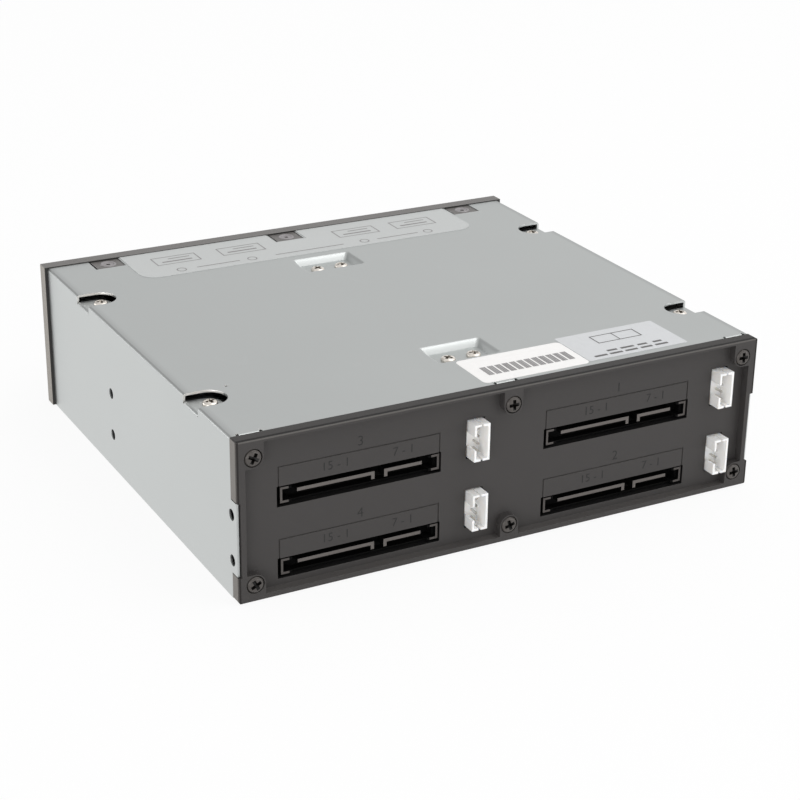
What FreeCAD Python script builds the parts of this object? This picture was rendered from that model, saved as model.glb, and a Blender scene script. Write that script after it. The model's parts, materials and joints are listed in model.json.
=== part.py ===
"""Rack for four 2.5-inch drives that fills one half-height 5.25-inch bay.

Millimetres. X runs across the rack, Y from the front bezel to the rear panel, Z up.
The origin lies under the middle of the whole rack, on the surface that it rests on.
"""
import FreeCAD
import Part
import math
import os

Vector = FreeCAD.Vector

# Allowances of the cutting and joining volumes
overrun = 1.0                   # a cutter passes the face that it cuts
weld = 0.1                      # joined volumes overlap
hair = 0.01                     # keeps a round end from closing to a point

# Overall size of the steel body
body_width = 146.0
body_height = 41.3
body_depth = 131.0              # back of the bezel to the rim of the rear panel

# Sheet metal
cover_sheet = 0.6
inner_sheet = 0.6               # floor pan, guide channels and divider
tray_sheet = 0.8
bend_inside = 0.2               # inside radius of every bend

# Tapped side holes of the drive-bay standard
mount_hole_radius = 1.45
mount_hole_low = 10.0           # height of the lower row
mount_hole_rise = 11.84
mount_hole_pitch = 79.25
mount_hole_to_rim = 3.5         # rear pair to the rim of the rear panel
mount_screw_room = 2.4          # radius of the hole behind, in the guide channel

# Recessed screw seats in the top
seat_drop = 1.8                 # depth of the seats below the top
ear_from_rim = 26.9             # rear ear to the rim of the rear panel
pocket_from_rim = 26.0          # rear pair of pocket screws to the rim
seat_row_pitch = 75.2           # rear row to front row, for ears and pockets
ear_screw_inset = 5.1           # ear screw to the outside of the side wall
ear_reach = 9.3                 # side wall to the round end of the cut-out
ear_cut_width = 9.2
ear_slit = 0.5                  # sheared gap beside the ear
ear_slit_depth = 0.6
pocket_length = 14.8            # floor of the drawn pocket, along X
pocket_width = 8.2
pocket_forward = 0.9            # middle of the pocket ahead of its screws
pocket_wall_run = 1.3           # how far its walls slope out
pocket_lip = 0.5                # extra flare at the rim
pocket_lip_drop = 0.5
pocket_corner = 0.8
pocket_screw_x = 3.7
tooling_hole_radius = 0.45
tooling_hole_x = 61.8
tooling_hole_from_rim = 31.6

# Screws of the top and of the rear panel
seat_screw_radius = 1.25
seat_screw_length = 3.2
seat_head_radius = 1.9
seat_head_height = 0.9
rear_screw_radius = 1.25
rear_screw_length = 8.4         # from the head's seat
rear_head_radius = 2.15
rear_head_height = 1.3
rear_seat_depth = 0.9           # counterbore, so that the heads stand a little proud
rear_screw_inset = 4.2          # from the side walls and from the underside
rear_screw_drop = 4.6           # upper row below the top
screw_play = 0.2                # clearance hole round a screw, on radius
thread_play = 0.02              # tapped hole round a screw, on radius

# Tabs that the rear screws thread into
tab_width = 5.1
tab_relief = 0.75
tab_relief_depth = 1.1
tab_beyond_screw = 3.4
tab_inboard = 0.85              # right tabs sit inwards of their screws
tab_inboard_left = 0.3          # left ones, which stand beside the headers

# Rear panel
panel_thickness = 3.7
panel_recess = 2.4
panel_rim_side = 2.1
panel_rim_top = 0.9
panel_rim_bottom = 1.3
panel_corner = 0.4
boss_radius = 2.6
head_room = 0.15                # counterbore round a screw head, on radius
side_lug_low = 6.8              # the side wall reaches the rim between these heights
side_lug_high = 25.7
side_lug_play = 0.2
side_lug_gap = 0.3              # lug to the panel, sideways
side_lug_short = 0.8            # its end to the panel's rim
collar_wall = 0.9               # wall round a plug window, on the hidden side
collar_gap = 0.15               # that wall to the board
frame_height = 5.2              # engraved frame above each plug window
frame_line = 0.35
frame_depth = 0.25
frame_inset = 0.3

# Circuit board and its connectors
board_thickness = 1.6
board_side_gap = 1.7            # board to the inside of the cover's side walls
board_low = 1.6
board_top_gap = 1.5             # board to the underside of the top
board_tab_gap = 0.5             # board to the screw tabs behind it
board_screw_radius = 0.8
board_screw_head_radius = 1.9
board_screw_head_height = 1.2
board_screw_bite = 1.8          # how deep the screw goes into the panel's post
post_radius = 2.2
plug_length = 42.2              # outside of the two end brackets
plug_height = 4.1
plug_play = 0.65                # panel window round the plug, at its ends
plug_window_height = 5.3
plug_setback = 0.5              # plug tip below the panel's floor
plug_rib = 0.6                  # thickness of the end brackets
bracket_length = 2.9
plug_shift = -0.4               # brackets and tongues off the middle of their window
tongue_thickness = 0.9
tongue_height = 0.05            # underside of the tongues above the port's centre
tongue_setback = 0.3
power_free_end = 16.6           # ends of the tongues from the plug's middle, along X
power_leg_end = -3.75
data_leg_end = -6.3
data_free_end = -16.5
tongue_leg = 0.9                # key leg at the inner end of a tongue
tongue_leg_drop = 1.15
sleeve_wall = 0.5               # plug housing that lines the board's slot
sleeve_play = 0.1
sleeve_reach = 0.6              # housing past the board, into the window's collar
port_flange_border = 1.0
port_flange = 1.4               # flange that seats on the front of the board
socket_depth = 6.0
socket_height = 5.0
socket_slot_height = 2.2
socket_slot_depth = 4.6
port_height = 3.6               # port centre above the underside of the drive
port_offset = 4.0               # port centre from the bay's centre
header_tab_gap = 0.3            # header to the screw tab at the left side wall
header_rise = 4.45              # header centre above the port's centre
header_width = 4.3
header_length = 9.7
header_reach = 1.0              # how far it stands out past the panel's rim
header_wall = 0.6
header_cavity = 4.4
header_slot = 3.6               # wide slot in one side wall
header_slit = 0.55
header_play = 0.35
pin_side = 0.5
pin_pitch = 2.0
pin_count = 4
pin_length = 2.9

# Front bezel
bezel_thickness = 4.5
bezel_side_overhang = 0.9
bezel_top_overhang = 0.3
bezel_gap = 0.3                 # round each tray front
bezel_edge = 0.8                # rounding of the front edges
bezel_tab_width = 8.0
bezel_tab_length = 6.4
bezel_tab_thickness = 1.4
bezel_tab_sink = 0.25           # tab below the top of the cover
bezel_tab_play = 0.4            # half the room that a tab has in its notch
bezel_tab_side_gap = 0.05       # tab to the left side of its notch
bezel_tab_places = (56.7, 1.5, -58.0)
bezel_foot_thickness = 0.8
clip_ring_radius = 2.2
clip_ring_width = 0.5
clip_ring_rise = 0.2
clip_dimple_radius = 0.6
clip_dimple_depth = 0.6

# Bays and their guides
channel_gap = 0.4               # between the two guide channels at the middle
channel_flange = 8.0
channel_front_gap = 0.5         # channel to the back of the bezel
guide_rear_gap = 1.5            # channel and divider to the front of the sockets
floor_flange_height = 7.0
floor_flange_rear_gap = 6.0     # floor pan's side flanges to its rear edge
runner_rise = 0.3
runner_width = 3.0
runner_spread = 22.0            # runner to the bay's centre
runner_end_gap = 6.0            # to the bezel's tabs and to the rear end
tray_lift = 0.3                 # tray above its runners
tray_side_gap = 0.35
upper_head_room = 0.8           # upper bays are this much higher than the lower ones

# Trays
pan_rear_gap = 2.5              # tray pan to the front of the socket
flange_behind_front = 18.0      # bezel front to the front of the pan's flange
flange_height = 12.0
drive_screw_spread = 30.86      # half the 61.72 mm screw spacing under a drive
drive_screw_first = 11.5        # rear screw row to the rear end of the pan
drive_screw_pitch = 76.6
drive_screw_hole = 1.6
pan_slot_length = 14.0
pan_slot_width = 3.5
pan_slot_spread = 12.0
pan_slot_pitch = 40.0
front_head_gap = 0.85           # tray front to the shelf above it
front_wall = 1.2
lever_recess = 3.6
bulkhead = 1.4
grille_slot_width = 2.2
grille_end_land = 2.5           # lever above and below its slots
grille_slot_pitch = 4.4
grille_margin = 0.6             # slots to the barrel and to the hook
button_face = 1.5               # front plate of the button's housing
button_width = 7.0
button_room = 1.0               # collar to the walls of its housing
button_depth = 4.0              # from the proud face to the back of the collar
button_proud = 0.5
button_collar = 0.8
button_play = 0.3
button_travel = 1.5
spring_strip = 0.3
spring_width = 3.0
spring_leg = 3.0
spring_gap = 5.0                # free length between its two legs, outside to outside
spring_seat = 1.2
lever_thickness = 2.6
lever_gap = 0.3
lever_end_gap = 0.5
barrel_radius = 1.8
pin_radius = 0.8
pin_running_play = 0.05
pin_seat_depth = 0.8
hook_length = 4.0
hook_thickness = 1.6
hook_height = 4.0
hook_from_end = 3.0
hook_room = 0.8
lever_ridge = 0.4               # grip ridges at the free end
lever_ridge_width = 0.8
lever_ridge_pitch = 1.8
lever_ridge_count = 3
boss_from_side = 8.0
boss_from_hook = 1.2
tray_boss_radius = 2.4
tray_screw_radius = 1.0
tray_screw_length = 6.0
tray_screw_head_radius = 1.9
tray_screw_head_height = 1.3
light_radius = 0.9
light_collar = 0.6
light_collar_thickness = 0.8
light_length = 8.0
light_gap = 0.4                 # its collar to the wall above and to the button below
light_play = 0.05

# Labels on the top
label_thickness = 0.1
label_gap = 0.2                 # between the two labels at the rear
barcode_label_size = (30.4, 15.3)
barcode_label_centre = (-10.0, 12.7)    # X, and distance to the panel's rim
barcode_label_corner = 1.4
rating_label_size = (29.8, 16.8)
rating_label_to_rim = 14.2      # its middle to the panel's rim
rating_label_corner = 0.4
guide_label_length = 105.0
guide_label_width = 20.5
guide_label_x = -0.5
guide_label_corner = 5.0
guide_label_play = 0.5

# Places that follow from the sizes above
half_width = body_width / 2
overall_depth = button_proud + bezel_thickness + body_depth + header_reach
rim_y = overall_depth / 2 - header_reach
panel_front_y = rim_y - panel_thickness
panel_floor_y = rim_y - panel_recess
bezel_back_y = rim_y - body_depth
bezel_front_y = bezel_back_y - bezel_thickness
board_rear_y = panel_front_y - cover_sheet - board_tab_gap
header_height = rim_y + header_reach - board_rear_y
board_front_y = board_rear_y - board_thickness
socket_rear_y = board_front_y - port_flange
socket_front_y = socket_rear_y - socket_depth
guide_front_y = bezel_back_y + channel_front_gap
guide_rear_y = socket_front_y - guide_rear_gap
seat_z = body_height - seat_drop
hang_z = seat_z - cover_sheet
inside_x = half_width - cover_sheet
bay_inner_x = channel_gap / 2 + inner_sheet
bay_outer_x = inside_x - inner_sheet
bay_centre_x = (bay_inner_x + bay_outer_x) / 2
tray_width = bay_outer_x - bay_inner_x - 2 * tray_side_gap
floor_top = inner_sheet
level_pitch = (hang_z - floor_top - upper_head_room) / 2
shelf_top = floor_top + level_pitch
tray_rise = runner_rise + tray_lift          # tray above the floor of its bay
front_height = level_pitch - inner_sheet - tray_rise - front_head_gap
flange_y = bezel_front_y + flange_behind_front
pan_rear_y = socket_front_y - pan_rear_gap
rear_screw_x = half_width - rear_screw_inset
rear_screw_places = [(x, z) for x in (-rear_screw_x, 0.0, rear_screw_x)
                     for z in (rear_screw_inset, body_height - rear_screw_drop)]
ear_rows = (rim_y - ear_from_rim, rim_y - ear_from_rim - seat_row_pitch)
pocket_rows = (rim_y - pocket_from_rim, rim_y - pocket_from_rim - seat_row_pitch)
rating_label_x = barcode_label_centre[0] - (barcode_label_size[0] + rating_label_size[0]) / 2 - label_gap
rating_label_centre = (rating_label_x, rating_label_to_rim)

# Bay number to its side and level, as numbered on the rear panel
bays = {1: (-1, 1), 2: (-1, 0), 3: (1, 1), 4: (1, 0)}


def box(x_span, y_span, z_span):
    """A block between two limits along each axis."""
    low = Vector(min(x_span), min(y_span), min(z_span))
    high = Vector(max(x_span), max(y_span), max(z_span))
    size = high - low
    return Part.makeBox(size.x, size.y, size.z, low)


def around(centre, length):
    """Two limits, length apart, about a centre."""
    return (centre - length / 2, centre + length / 2)


def rod(radius, start, end):
    """A cylinder from one point to another."""
    axis = end - start
    return Part.makeCylinder(radius, axis.Length, start, axis)


def rounded_wire(corners, place):
    """A closed wire through corners (u, v) or (u, v, radius), put in space by place(u, v)."""
    stations = []
    count = len(corners)
    for i, corner in enumerate(corners):
        here = Vector(corner[0], corner[1], 0)
        radius = corner[2] if len(corner) > 2 else 0.0
        if radius <= 0:
            stations.append((here, None, here))
            continue
        back = Vector(corners[i - 1][0], corners[i - 1][1], 0) - here
        ahead = Vector(corners[(i + 1) % count][0], corners[(i + 1) % count][1], 0) - here
        back.normalize()
        ahead.normalize()
        half_angle = back.getAngle(ahead) / 2
        reach = radius / math.tan(half_angle)
        bisector = back + ahead
        bisector.normalize()
        middle = here + bisector * (radius / math.sin(half_angle) - radius)
        stations.append((here + back * reach, middle, here + ahead * reach))
    edges = []
    for i, (start, middle, end) in enumerate(stations):
        if middle is not None:
            points = [place(p.x, p.y) for p in (start, middle, end)]
            edges.append(Part.Arc(*points).toShape())
        following = stations[(i + 1) % count][0]
        if (following - end).Length > 1e-6:
            edges.append(Part.LineSegment(place(end.x, end.y), place(following.x, following.y)).toShape())
    return Part.Wire(edges)


def slab(corners, place, depth):
    """A rounded outline, extruded by the vector depth."""
    return Part.Face(rounded_wire(corners, place)).extrude(depth)


def rectangle(u_span, v_span, radius=0.0):
    """Corners of a rectangle with equal rounding."""
    u0, u1 = u_span
    v0, v1 = v_span
    return [(u0, v0, radius), (u1, v0, radius), (u1, v1, radius), (u0, v1, radius)]


def on_xy(z):
    return lambda u, v: Vector(u, v, z)


def on_xz(y):
    return lambda u, v: Vector(u, y, v)


def on_yz(x):
    return lambda u, v: Vector(x, u, v)


def joined(first, *others):
    """One solid from pieces that overlap or touch."""
    return first.multiFuse(list(others)).removeSplitter()


def mirrored(shape):
    """The shape on the other side of the middle plane."""
    return shape.mirror(Vector(0, 0, 0), Vector(1, 0, 0))


def bay_shift(bay):
    """From the right lower bay, where trays and ports are drawn, to another bay."""
    side, level = bays[bay]
    return Vector((side - 1) * bay_centre_x, 0, level * level_pitch)


def moved(shape, shift):
    copy = shape.copy()
    copy.translate(shift)
    return copy


def bay_port_centre():
    """X and Z of the port in the right lower bay."""
    drive_underside = floor_top + tray_rise + tray_sheet
    return bay_centre_x + port_offset, drive_underside + port_height


def bay_header_centre():
    x, z = bay_port_centre()
    tab_edge = tab_inboard_left + tab_width / 2 - rear_screw_x
    left_bay_x = tab_edge + header_tab_gap + header_width / 2
    return left_bay_x + 2 * bay_centre_x, z + header_rise


# Steel cover

def side_hole_places():
    """Y and Z of the four tapped holes in a side wall."""
    rear = rim_y - mount_hole_to_rim
    return [(y, z) for y in (rear, rear - mount_hole_pitch)
            for z in (mount_hole_low, mount_hole_low + mount_hole_rise)]


def cover_shell():
    outside = bend_inside + cover_sheet
    profile = [
        (-half_width, 0), (-half_width, body_height, outside),
        (half_width, body_height, outside), (half_width, 0),
        (inside_x, 0), (inside_x, body_height - cover_sheet, bend_inside),
        (-inside_x, body_height - cover_sheet, bend_inside), (-inside_x, 0),
    ]
    shell = slab(profile, on_xz(bezel_back_y), Vector(0, panel_front_y - bezel_back_y, 0))
    lugs = [box((side * inside_x, side * half_width), (panel_front_y - overrun, rim_y - side_lug_short),
                (side_lug_low, side_lug_high)) for side in (-1, 1)]
    return joined(shell, *lugs)


def tab_centre(screw_x):
    """The outer tabs sit a little inwards of their screws."""
    if not screw_x:
        return 0.0
    return screw_x - tab_inboard if screw_x > 0 else screw_x + tab_inboard_left


def bent_tab(screw_x, sheet, edge_z, direction):
    """A tab bent from a sheet's rear edge, up or down, with its outer bend at edge_z."""
    outside = bend_inside + sheet
    screw_off_edge = rear_screw_drop if direction < 0 else rear_screw_inset
    reach = screw_off_edge + tab_beyond_screw
    root = panel_front_y - tab_relief_depth - outside
    profile = [
        (root, edge_z), (panel_front_y, edge_z, outside),
        (panel_front_y, edge_z + direction * reach),
        (panel_front_y - sheet, edge_z + direction * reach),
        (panel_front_y - sheet, edge_z + direction * sheet, bend_inside),
        (root, edge_z + direction * sheet),
    ]
    tab = slab(profile, on_yz(tab_centre(screw_x) - tab_width / 2), Vector(tab_width, 0, 0))
    hole_z = edge_z + direction * screw_off_edge
    hole = rod(rear_screw_radius + thread_play, Vector(screw_x, panel_front_y - sheet - overrun, hole_z),
               Vector(screw_x, panel_front_y + overrun, hole_z))
    return tab.cut(hole)


def with_rear_tabs(sheet_part, sheet, edge_z, direction):
    """Cuts bend reliefs into a sheet's rear edge and adds the three screw tabs there."""
    reliefs = []
    tabs = []
    for x in (-rear_screw_x, 0.0, rear_screw_x):
        reliefs.append(box(around(tab_centre(x), tab_width + 2 * tab_relief),
                           (panel_front_y - tab_relief_depth, panel_front_y + overrun),
                           (edge_z - direction, edge_z + direction * (sheet + bend_inside))))
        tabs.append(bent_tab(x, sheet, edge_z, direction))
    return joined(sheet_part.cut(reliefs), *tabs)


def ear_outline(width, reach):
    """A strip from the side wall inwards, with a round end."""
    start = half_width + overrun
    end = half_width - reach
    return [(start, -width / 2), (start, width / 2), (end, width / 2, width / 2 - hair),
            (end, -width / 2, width / 2 - hair)]


def ear_cut(y):
    low = seat_z - ear_slit_depth
    tool = slab(ear_outline(ear_cut_width, ear_reach), on_xy(low), Vector(0, 0, body_height + overrun - low))
    tool.translate(Vector(0, y, 0))
    return tool


def screw_ear(y):
    """Seat folded in from the side wall, below the top."""
    outside = bend_inside + cover_sheet
    width = ear_cut_width - 2 * ear_slit
    root = seat_z - ear_slit_depth - cover_sheet
    tip = half_width - ear_reach + 2 * ear_slit
    profile = [
        (half_width, root), (half_width, seat_z, outside), (tip, seat_z),
        (tip, hang_z), (inside_x, hang_z, bend_inside), (inside_x, root),
    ]
    strip = slab(profile, on_xz(y - width / 2), Vector(0, width, 0))
    limit = slab(ear_outline(width, ear_reach - 2 * ear_slit), on_xy(root), Vector(0, 0, body_height))
    limit.translate(Vector(0, y, 0))
    x = half_width - ear_screw_inset
    hole = rod(seat_screw_radius + screw_play, Vector(x, y, hang_z - overrun),
               Vector(x, y, seat_z + overrun))
    return strip.common(limit).cut(hole)


def pocket_section(z, length, width, y):
    corners = rectangle(around(0.0, length), around(y - pocket_forward, width), pocket_corner)
    return rounded_wire(corners, on_xy(z))


def pocket_body(y, thickness):
    """The drawn pocket's form: its hollow with thickness 0, or its outside with the sheet added."""
    grow = 2 * thickness
    top = body_height - thickness
    flare = 2 * pocket_wall_run
    rim = flare + 2 * pocket_lip
    sections = [
        pocket_section(top, pocket_length + rim + grow, pocket_width + rim + grow, y),
        pocket_section(top - pocket_lip_drop, pocket_length + flare + grow, pocket_width + flare + grow, y),
        pocket_section(seat_z - thickness, pocket_length + grow, pocket_width + grow, y),
    ]
    return Part.makeLoft(sections, True, True)


def steel_cover():
    cover = with_rear_tabs(cover_shell(), cover_sheet, body_height, -1)
    cuts = []
    additions = []
    for y in ear_rows:
        cuts += [ear_cut(y), mirrored(ear_cut(y))]
        additions += [screw_ear(y), mirrored(screw_ear(y))]
    notch = bezel_tab_width + 2 * bezel_tab_play
    notch_depth = (bezel_back_y - overrun, bezel_back_y + bezel_tab_length + bezel_tab_play)
    for x in bezel_tab_places:
        cuts.append(box(around(x, notch), notch_depth,
                        (body_height - 2 * cover_sheet, body_height + overrun)))
    cover = joined(cover.cut(cuts), *additions)
    for y in pocket_rows:
        drawn = joined(cover, pocket_body(y, cover_sheet))
        cover = drawn.cut(pocket_body(y, 0.0))
    holes = []
    for y in pocket_rows:
        for x in (-pocket_screw_x, pocket_screw_x):
            holes.append(rod(seat_screw_radius + screw_play,
                             Vector(x, y, hang_z - overrun), Vector(x, y, seat_z + overrun)))
    for y, z in side_hole_places():
        hole = rod(mount_hole_radius, Vector(inside_x - overrun, y, z), Vector(half_width + overrun, y, z))
        holes += [hole, mirrored(hole)]
    y = rim_y - tooling_hole_from_rim
    holes.append(rod(tooling_hole_radius, Vector(tooling_hole_x, y, body_height - 2 * cover_sheet),
                     Vector(tooling_hole_x, y, body_height + overrun)))
    return cover.cut(holes)


# Floor pan, guide channels and divider

def runner_ribs(top_z, centre_x, sheet):
    """Two pressed ribs, each with the groove that it leaves in the underside."""
    ribs = []
    grooves = []
    y_span = (guide_front_y + bezel_tab_length + runner_end_gap, guide_rear_y - runner_end_gap)
    for x in (centre_x - runner_spread, centre_x + runner_spread):
        rib = rectangle(around(x, runner_width), y_span, runner_width / 2 - hair)
        ribs.append(slab(rib, on_xy(top_z), Vector(0, 0, runner_rise)))
        inner = runner_width - 2 * runner_rise
        groove_span = (y_span[0] + runner_rise, y_span[1] - runner_rise)
        groove = rectangle(around(x, inner), groove_span, inner / 2 - hair)
        grooves.append(slab(groove, on_xy(top_z - sheet), Vector(0, 0, runner_rise)))
    return ribs, grooves


def floor_pan():
    outside = bend_inside + inner_sheet
    sheet = box((-inside_x, inside_x), (bezel_back_y, panel_front_y), (0, inner_sheet))
    sheet = with_rear_tabs(sheet, inner_sheet, 0.0, 1)
    flange_profile = [
        (inside_x, floor_flange_height), (inside_x, 0, outside), (inside_x - 2 * outside, 0),
        (inside_x - 2 * outside, inner_sheet), (bay_outer_x, inner_sheet, bend_inside),
        (bay_outer_x, floor_flange_height),
    ]
    flange_rear = panel_front_y - floor_flange_rear_gap
    flange = slab(flange_profile, on_xz(bezel_back_y), Vector(0, flange_rear - bezel_back_y, 0))
    corner = box((inside_x - outside, inside_x), (bezel_back_y - overrun, flange_rear), (-overrun, outside))
    notch = bezel_tab_width + 2 * bezel_tab_play
    notch_depth = (bezel_back_y - overrun, bezel_back_y + bezel_tab_length + bezel_tab_play)
    sheet_span = (-overrun, inner_sheet + overrun)
    notches = [box(around(x, notch), notch_depth, sheet_span) for x in bezel_tab_places]
    sheet = sheet.cut([corner, mirrored(corner)])
    sheet = joined(sheet, flange, mirrored(flange)).cut(notches)
    for side in (-1, 1):
        ribs, grooves = runner_ribs(inner_sheet, side * bay_centre_x, inner_sheet)
        sheet = joined(sheet, *ribs).cut(grooves)
    return sheet


def bay_channel():
    """Guide channel of the right upper bay, hung from the cover by its two flanges."""
    outside = bend_inside + inner_sheet
    low = shelf_top - inner_sheet
    inner_x = channel_gap / 2
    under = hang_z - inner_sheet
    profile = [
        (inner_x + channel_flange, hang_z), (inner_x, hang_z, outside), (inner_x, low, outside),
        (inside_x, low, outside), (inside_x, hang_z, outside), (inside_x - channel_flange, hang_z),
        (inside_x - channel_flange, under), (bay_outer_x, under, bend_inside),
        (bay_outer_x, shelf_top, bend_inside), (bay_inner_x, shelf_top, bend_inside),
        (bay_inner_x, under, bend_inside), (inner_x + channel_flange, under),
    ]
    channel = slab(profile, on_xz(guide_front_y), Vector(0, guide_rear_y - guide_front_y, 0))
    ribs, grooves = runner_ribs(shelf_top, bay_centre_x, inner_sheet)
    channel = joined(channel, *ribs)
    holes = list(grooves)
    for rows, x in ((ear_rows, half_width - ear_screw_inset), (pocket_rows, pocket_screw_x)):
        for y in rows:
            holes.append(rod(seat_screw_radius + thread_play, Vector(x, y, under - overrun),
                             Vector(x, y, hang_z + overrun)))
    for y, z in side_hole_places():
        holes.append(rod(mount_screw_room, Vector(bay_outer_x - overrun, y, z),
                         Vector(inside_x + overrun, y, z)))
    return channel.cut(holes)


def lower_divider():
    """Folded wall between the two lower bays, on the floor pan and under the channels."""
    outside = bend_inside + inner_sheet
    low = floor_top
    high = shelf_top - inner_sheet
    inner = channel_gap / 2
    profile = [(-bay_inner_x, low), (bay_inner_x, low), (bay_inner_x, high), (inner, high),
               (inner, low + inner_sheet), (-inner, low + inner_sheet), (-inner, high), (-bay_inner_x, high)]
    wall = slab(profile, on_xz(guide_front_y + bezel_tab_length + outside),
                Vector(0, guide_rear_y - guide_front_y - bezel_tab_length - outside, 0))
    return wall


# Screws of the enclosure

def pan_screw(head_radius, head_height, radius, length):
    """A chamfered head with its seat on the XY plane and its shank down -Z."""
    shoulder = min(head_height, head_radius) / 2
    profile = [(0, head_height), (0, -length), (radius, -length), (radius, 0), (head_radius, 0),
               (head_radius, head_height - shoulder), (head_radius - shoulder, head_height)]
    face = Part.Face(rounded_wire(profile, on_xz(0)))
    return face.revolve(Vector(0, 0, 0), Vector(0, 0, 1), 360)


def seat_screws(places):
    screw = pan_screw(seat_head_radius, seat_head_height, seat_screw_radius, seat_screw_length)
    return Part.makeCompound([moved(screw, Vector(x, y, seat_z)) for x, y in places])


def cover_screws():
    x = half_width - ear_screw_inset
    return seat_screws([(side * x, y) for side in (-1, 1) for y in ear_rows])


def pocket_screws():
    return seat_screws([(x, y) for x in (-pocket_screw_x, pocket_screw_x) for y in pocket_rows])


def rear_screws():
    screw = pan_screw(rear_head_radius, rear_head_height, rear_screw_radius, rear_screw_length)
    screw.rotate(Vector(0, 0, 0), Vector(1, 0, 0), -90)
    seat_y = rim_y - rear_seat_depth
    return Part.makeCompound([moved(screw, Vector(x, seat_y, z)) for x, z in rear_screw_places])


# Rear panel, board and connectors

def post_places():
    """X and Z of the posts that carry the board, between and above the ports."""
    x, z = bay_port_centre()
    left_x = x - 2 * bay_centre_x
    return [(px, z + level_pitch * rise) for px in (x, left_x) for rise in (0.5, 1.5)]


def panel_boss(x, z):
    """A screw boss that runs out to the rim above or below it, and to the side rim at a corner."""
    upper = z > body_height / 2
    edge = body_height - panel_rim_top / 2 if upper else panel_rim_bottom / 2
    pieces = [rod(boss_radius, Vector(x, panel_floor_y - weld, z), Vector(x, rim_y, z)),
              box(around(x, 2 * boss_radius), (panel_floor_y - weld, rim_y), (z, edge))]
    if x:
        outer = math.copysign(half_width - panel_rim_side / 2, x)
        inner_z = z - boss_radius if upper else z + boss_radius
        pieces.append(box((x, outer), (panel_floor_y - weld, rim_y), (inner_z, edge)))
    return pieces


def engraved_frame(x, low):
    """Groove along the two sides and the top of the field above a plug window."""
    outer = plug_length + 2 * plug_play - 2 * frame_inset
    depth = (panel_floor_y - frame_depth, rim_y)
    block = box(around(x, outer), depth, (low, low + frame_height))
    field = box(around(x, outer - 2 * frame_line), depth, (low, low + frame_height - frame_line))
    return block.cut(field)


def rear_panel():
    outline = rectangle((-half_width, half_width), (0, body_height), panel_corner)
    panel = slab(outline, on_xz(panel_front_y), Vector(0, panel_thickness, 0))
    hollow = rectangle((panel_rim_side - half_width, half_width - panel_rim_side),
                       (panel_rim_bottom, body_height - panel_rim_top), panel_rim_top)
    panel = panel.cut(slab(hollow, on_xz(panel_floor_y), Vector(0, panel_recess + overrun, 0)))
    additions = []
    for x, z in rear_screw_places:
        additions += panel_boss(x, z)
    port_x, port_z = bay_port_centre()
    header_x, header_z = bay_header_centre()
    window = plug_length + 2 * plug_play
    cuts = []
    for bay in bays:
        shift = bay_shift(bay)
        cuts.append(moved(engraved_frame(port_x, port_z + plug_window_height / 2), shift))
        through = (board_rear_y - overrun, rim_y + overrun)
        collar_depth = (board_rear_y + collar_gap, panel_front_y + weld)
        collar = box(around(port_x, window + 2 * collar_wall), collar_depth,
                     around(port_z, plug_window_height + 2 * collar_wall))
        additions.append(moved(collar, shift))
        cuts.append(moved(box(around(port_x, window), through, around(port_z, plug_window_height)), shift))
        cuts.append(moved(box(around(header_x, header_width + 2 * header_play), through,
                              around(header_z, header_length + 2 * header_play)), shift))
    for x, z in post_places():
        additions.append(rod(post_radius, Vector(x, board_rear_y, z), Vector(x, panel_front_y + weld, z)))
        tip = board_rear_y + board_screw_bite
        cuts.append(rod(board_screw_radius + thread_play, Vector(x, board_rear_y - overrun, z),
                        Vector(x, tip, z)))
    for x, z in rear_screw_places:
        cuts.append(rod(rear_head_radius + head_room, Vector(x, rim_y - rear_seat_depth, z),
                        Vector(x, rim_y + overrun, z)))
        cuts.append(rod(rear_screw_radius + screw_play, Vector(x, panel_front_y - overrun, z),
                        Vector(x, rim_y, z)))
    for side in (-1, 1):
        cuts.append(box((side * (inside_x - side_lug_gap), side * (half_width + overrun)),
                        (panel_front_y - overrun, rim_y + overrun),
                        (side_lug_low - side_lug_play, side_lug_high + side_lug_play)))
    return joined(panel, *additions).cut(cuts)


def screw_notch(x, z, through):
    """Notch in the board's edge that lets a rear screw past."""
    room = rear_screw_radius + 2 * screw_play
    side = (x > 0) - (x < 0)
    level = 1 if z > body_height / 2 else -1
    x_span = (x - side * room, side * half_width) if side else around(x, 2 * room)
    return box(x_span, through, (z - level * room, z + level * body_height / 2))


def backplane_board():
    x = inside_x - board_side_gap
    top = body_height - cover_sheet - board_top_gap
    board = box((-x, x), (board_front_y, board_rear_y), (board_low, top))
    port_x, port_z = bay_port_centre()
    through = (board_front_y - overrun, board_rear_y + overrun)
    cuts = []
    for bay in bays:
        slot = box(around(port_x, plug_length + 2 * plug_play), through, around(port_z, plug_window_height))
        cuts.append(moved(slot, bay_shift(bay)))
    cuts += [screw_notch(x, z, through) for x, z in rear_screw_places]
    for x, z in post_places():
        cuts.append(rod(board_screw_radius + screw_play, Vector(x, through[0], z), Vector(x, through[1], z)))
    return board.cut(cuts)


def board_screws():
    screw = pan_screw(board_screw_head_radius, board_screw_head_height, board_screw_radius,
                      board_thickness + board_screw_bite)
    screw.rotate(Vector(0, 0, 0), Vector(1, 0, 0), 90)
    return Part.makeCompound([moved(screw, Vector(x, board_front_y, z)) for x, z in post_places()])


def plug_key(leg_end, free_end, base_y, tip_y):
    """A contact tongue with a short key leg at one end, as one L-shaped profile."""
    x, z = bay_port_centre()
    x += plug_shift
    under = z + tongue_height
    foot = under - tongue_leg_drop
    leg_x = x + leg_end + math.copysign(tongue_leg, free_end - leg_end)
    profile = [(x + free_end, under), (x + free_end, under + tongue_thickness),
               (x + leg_end, under + tongue_thickness), (x + leg_end, foot), (leg_x, foot), (leg_x, under)]
    return slab(profile, on_xz(base_y), Vector(0, tip_y - base_y, 0))


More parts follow.
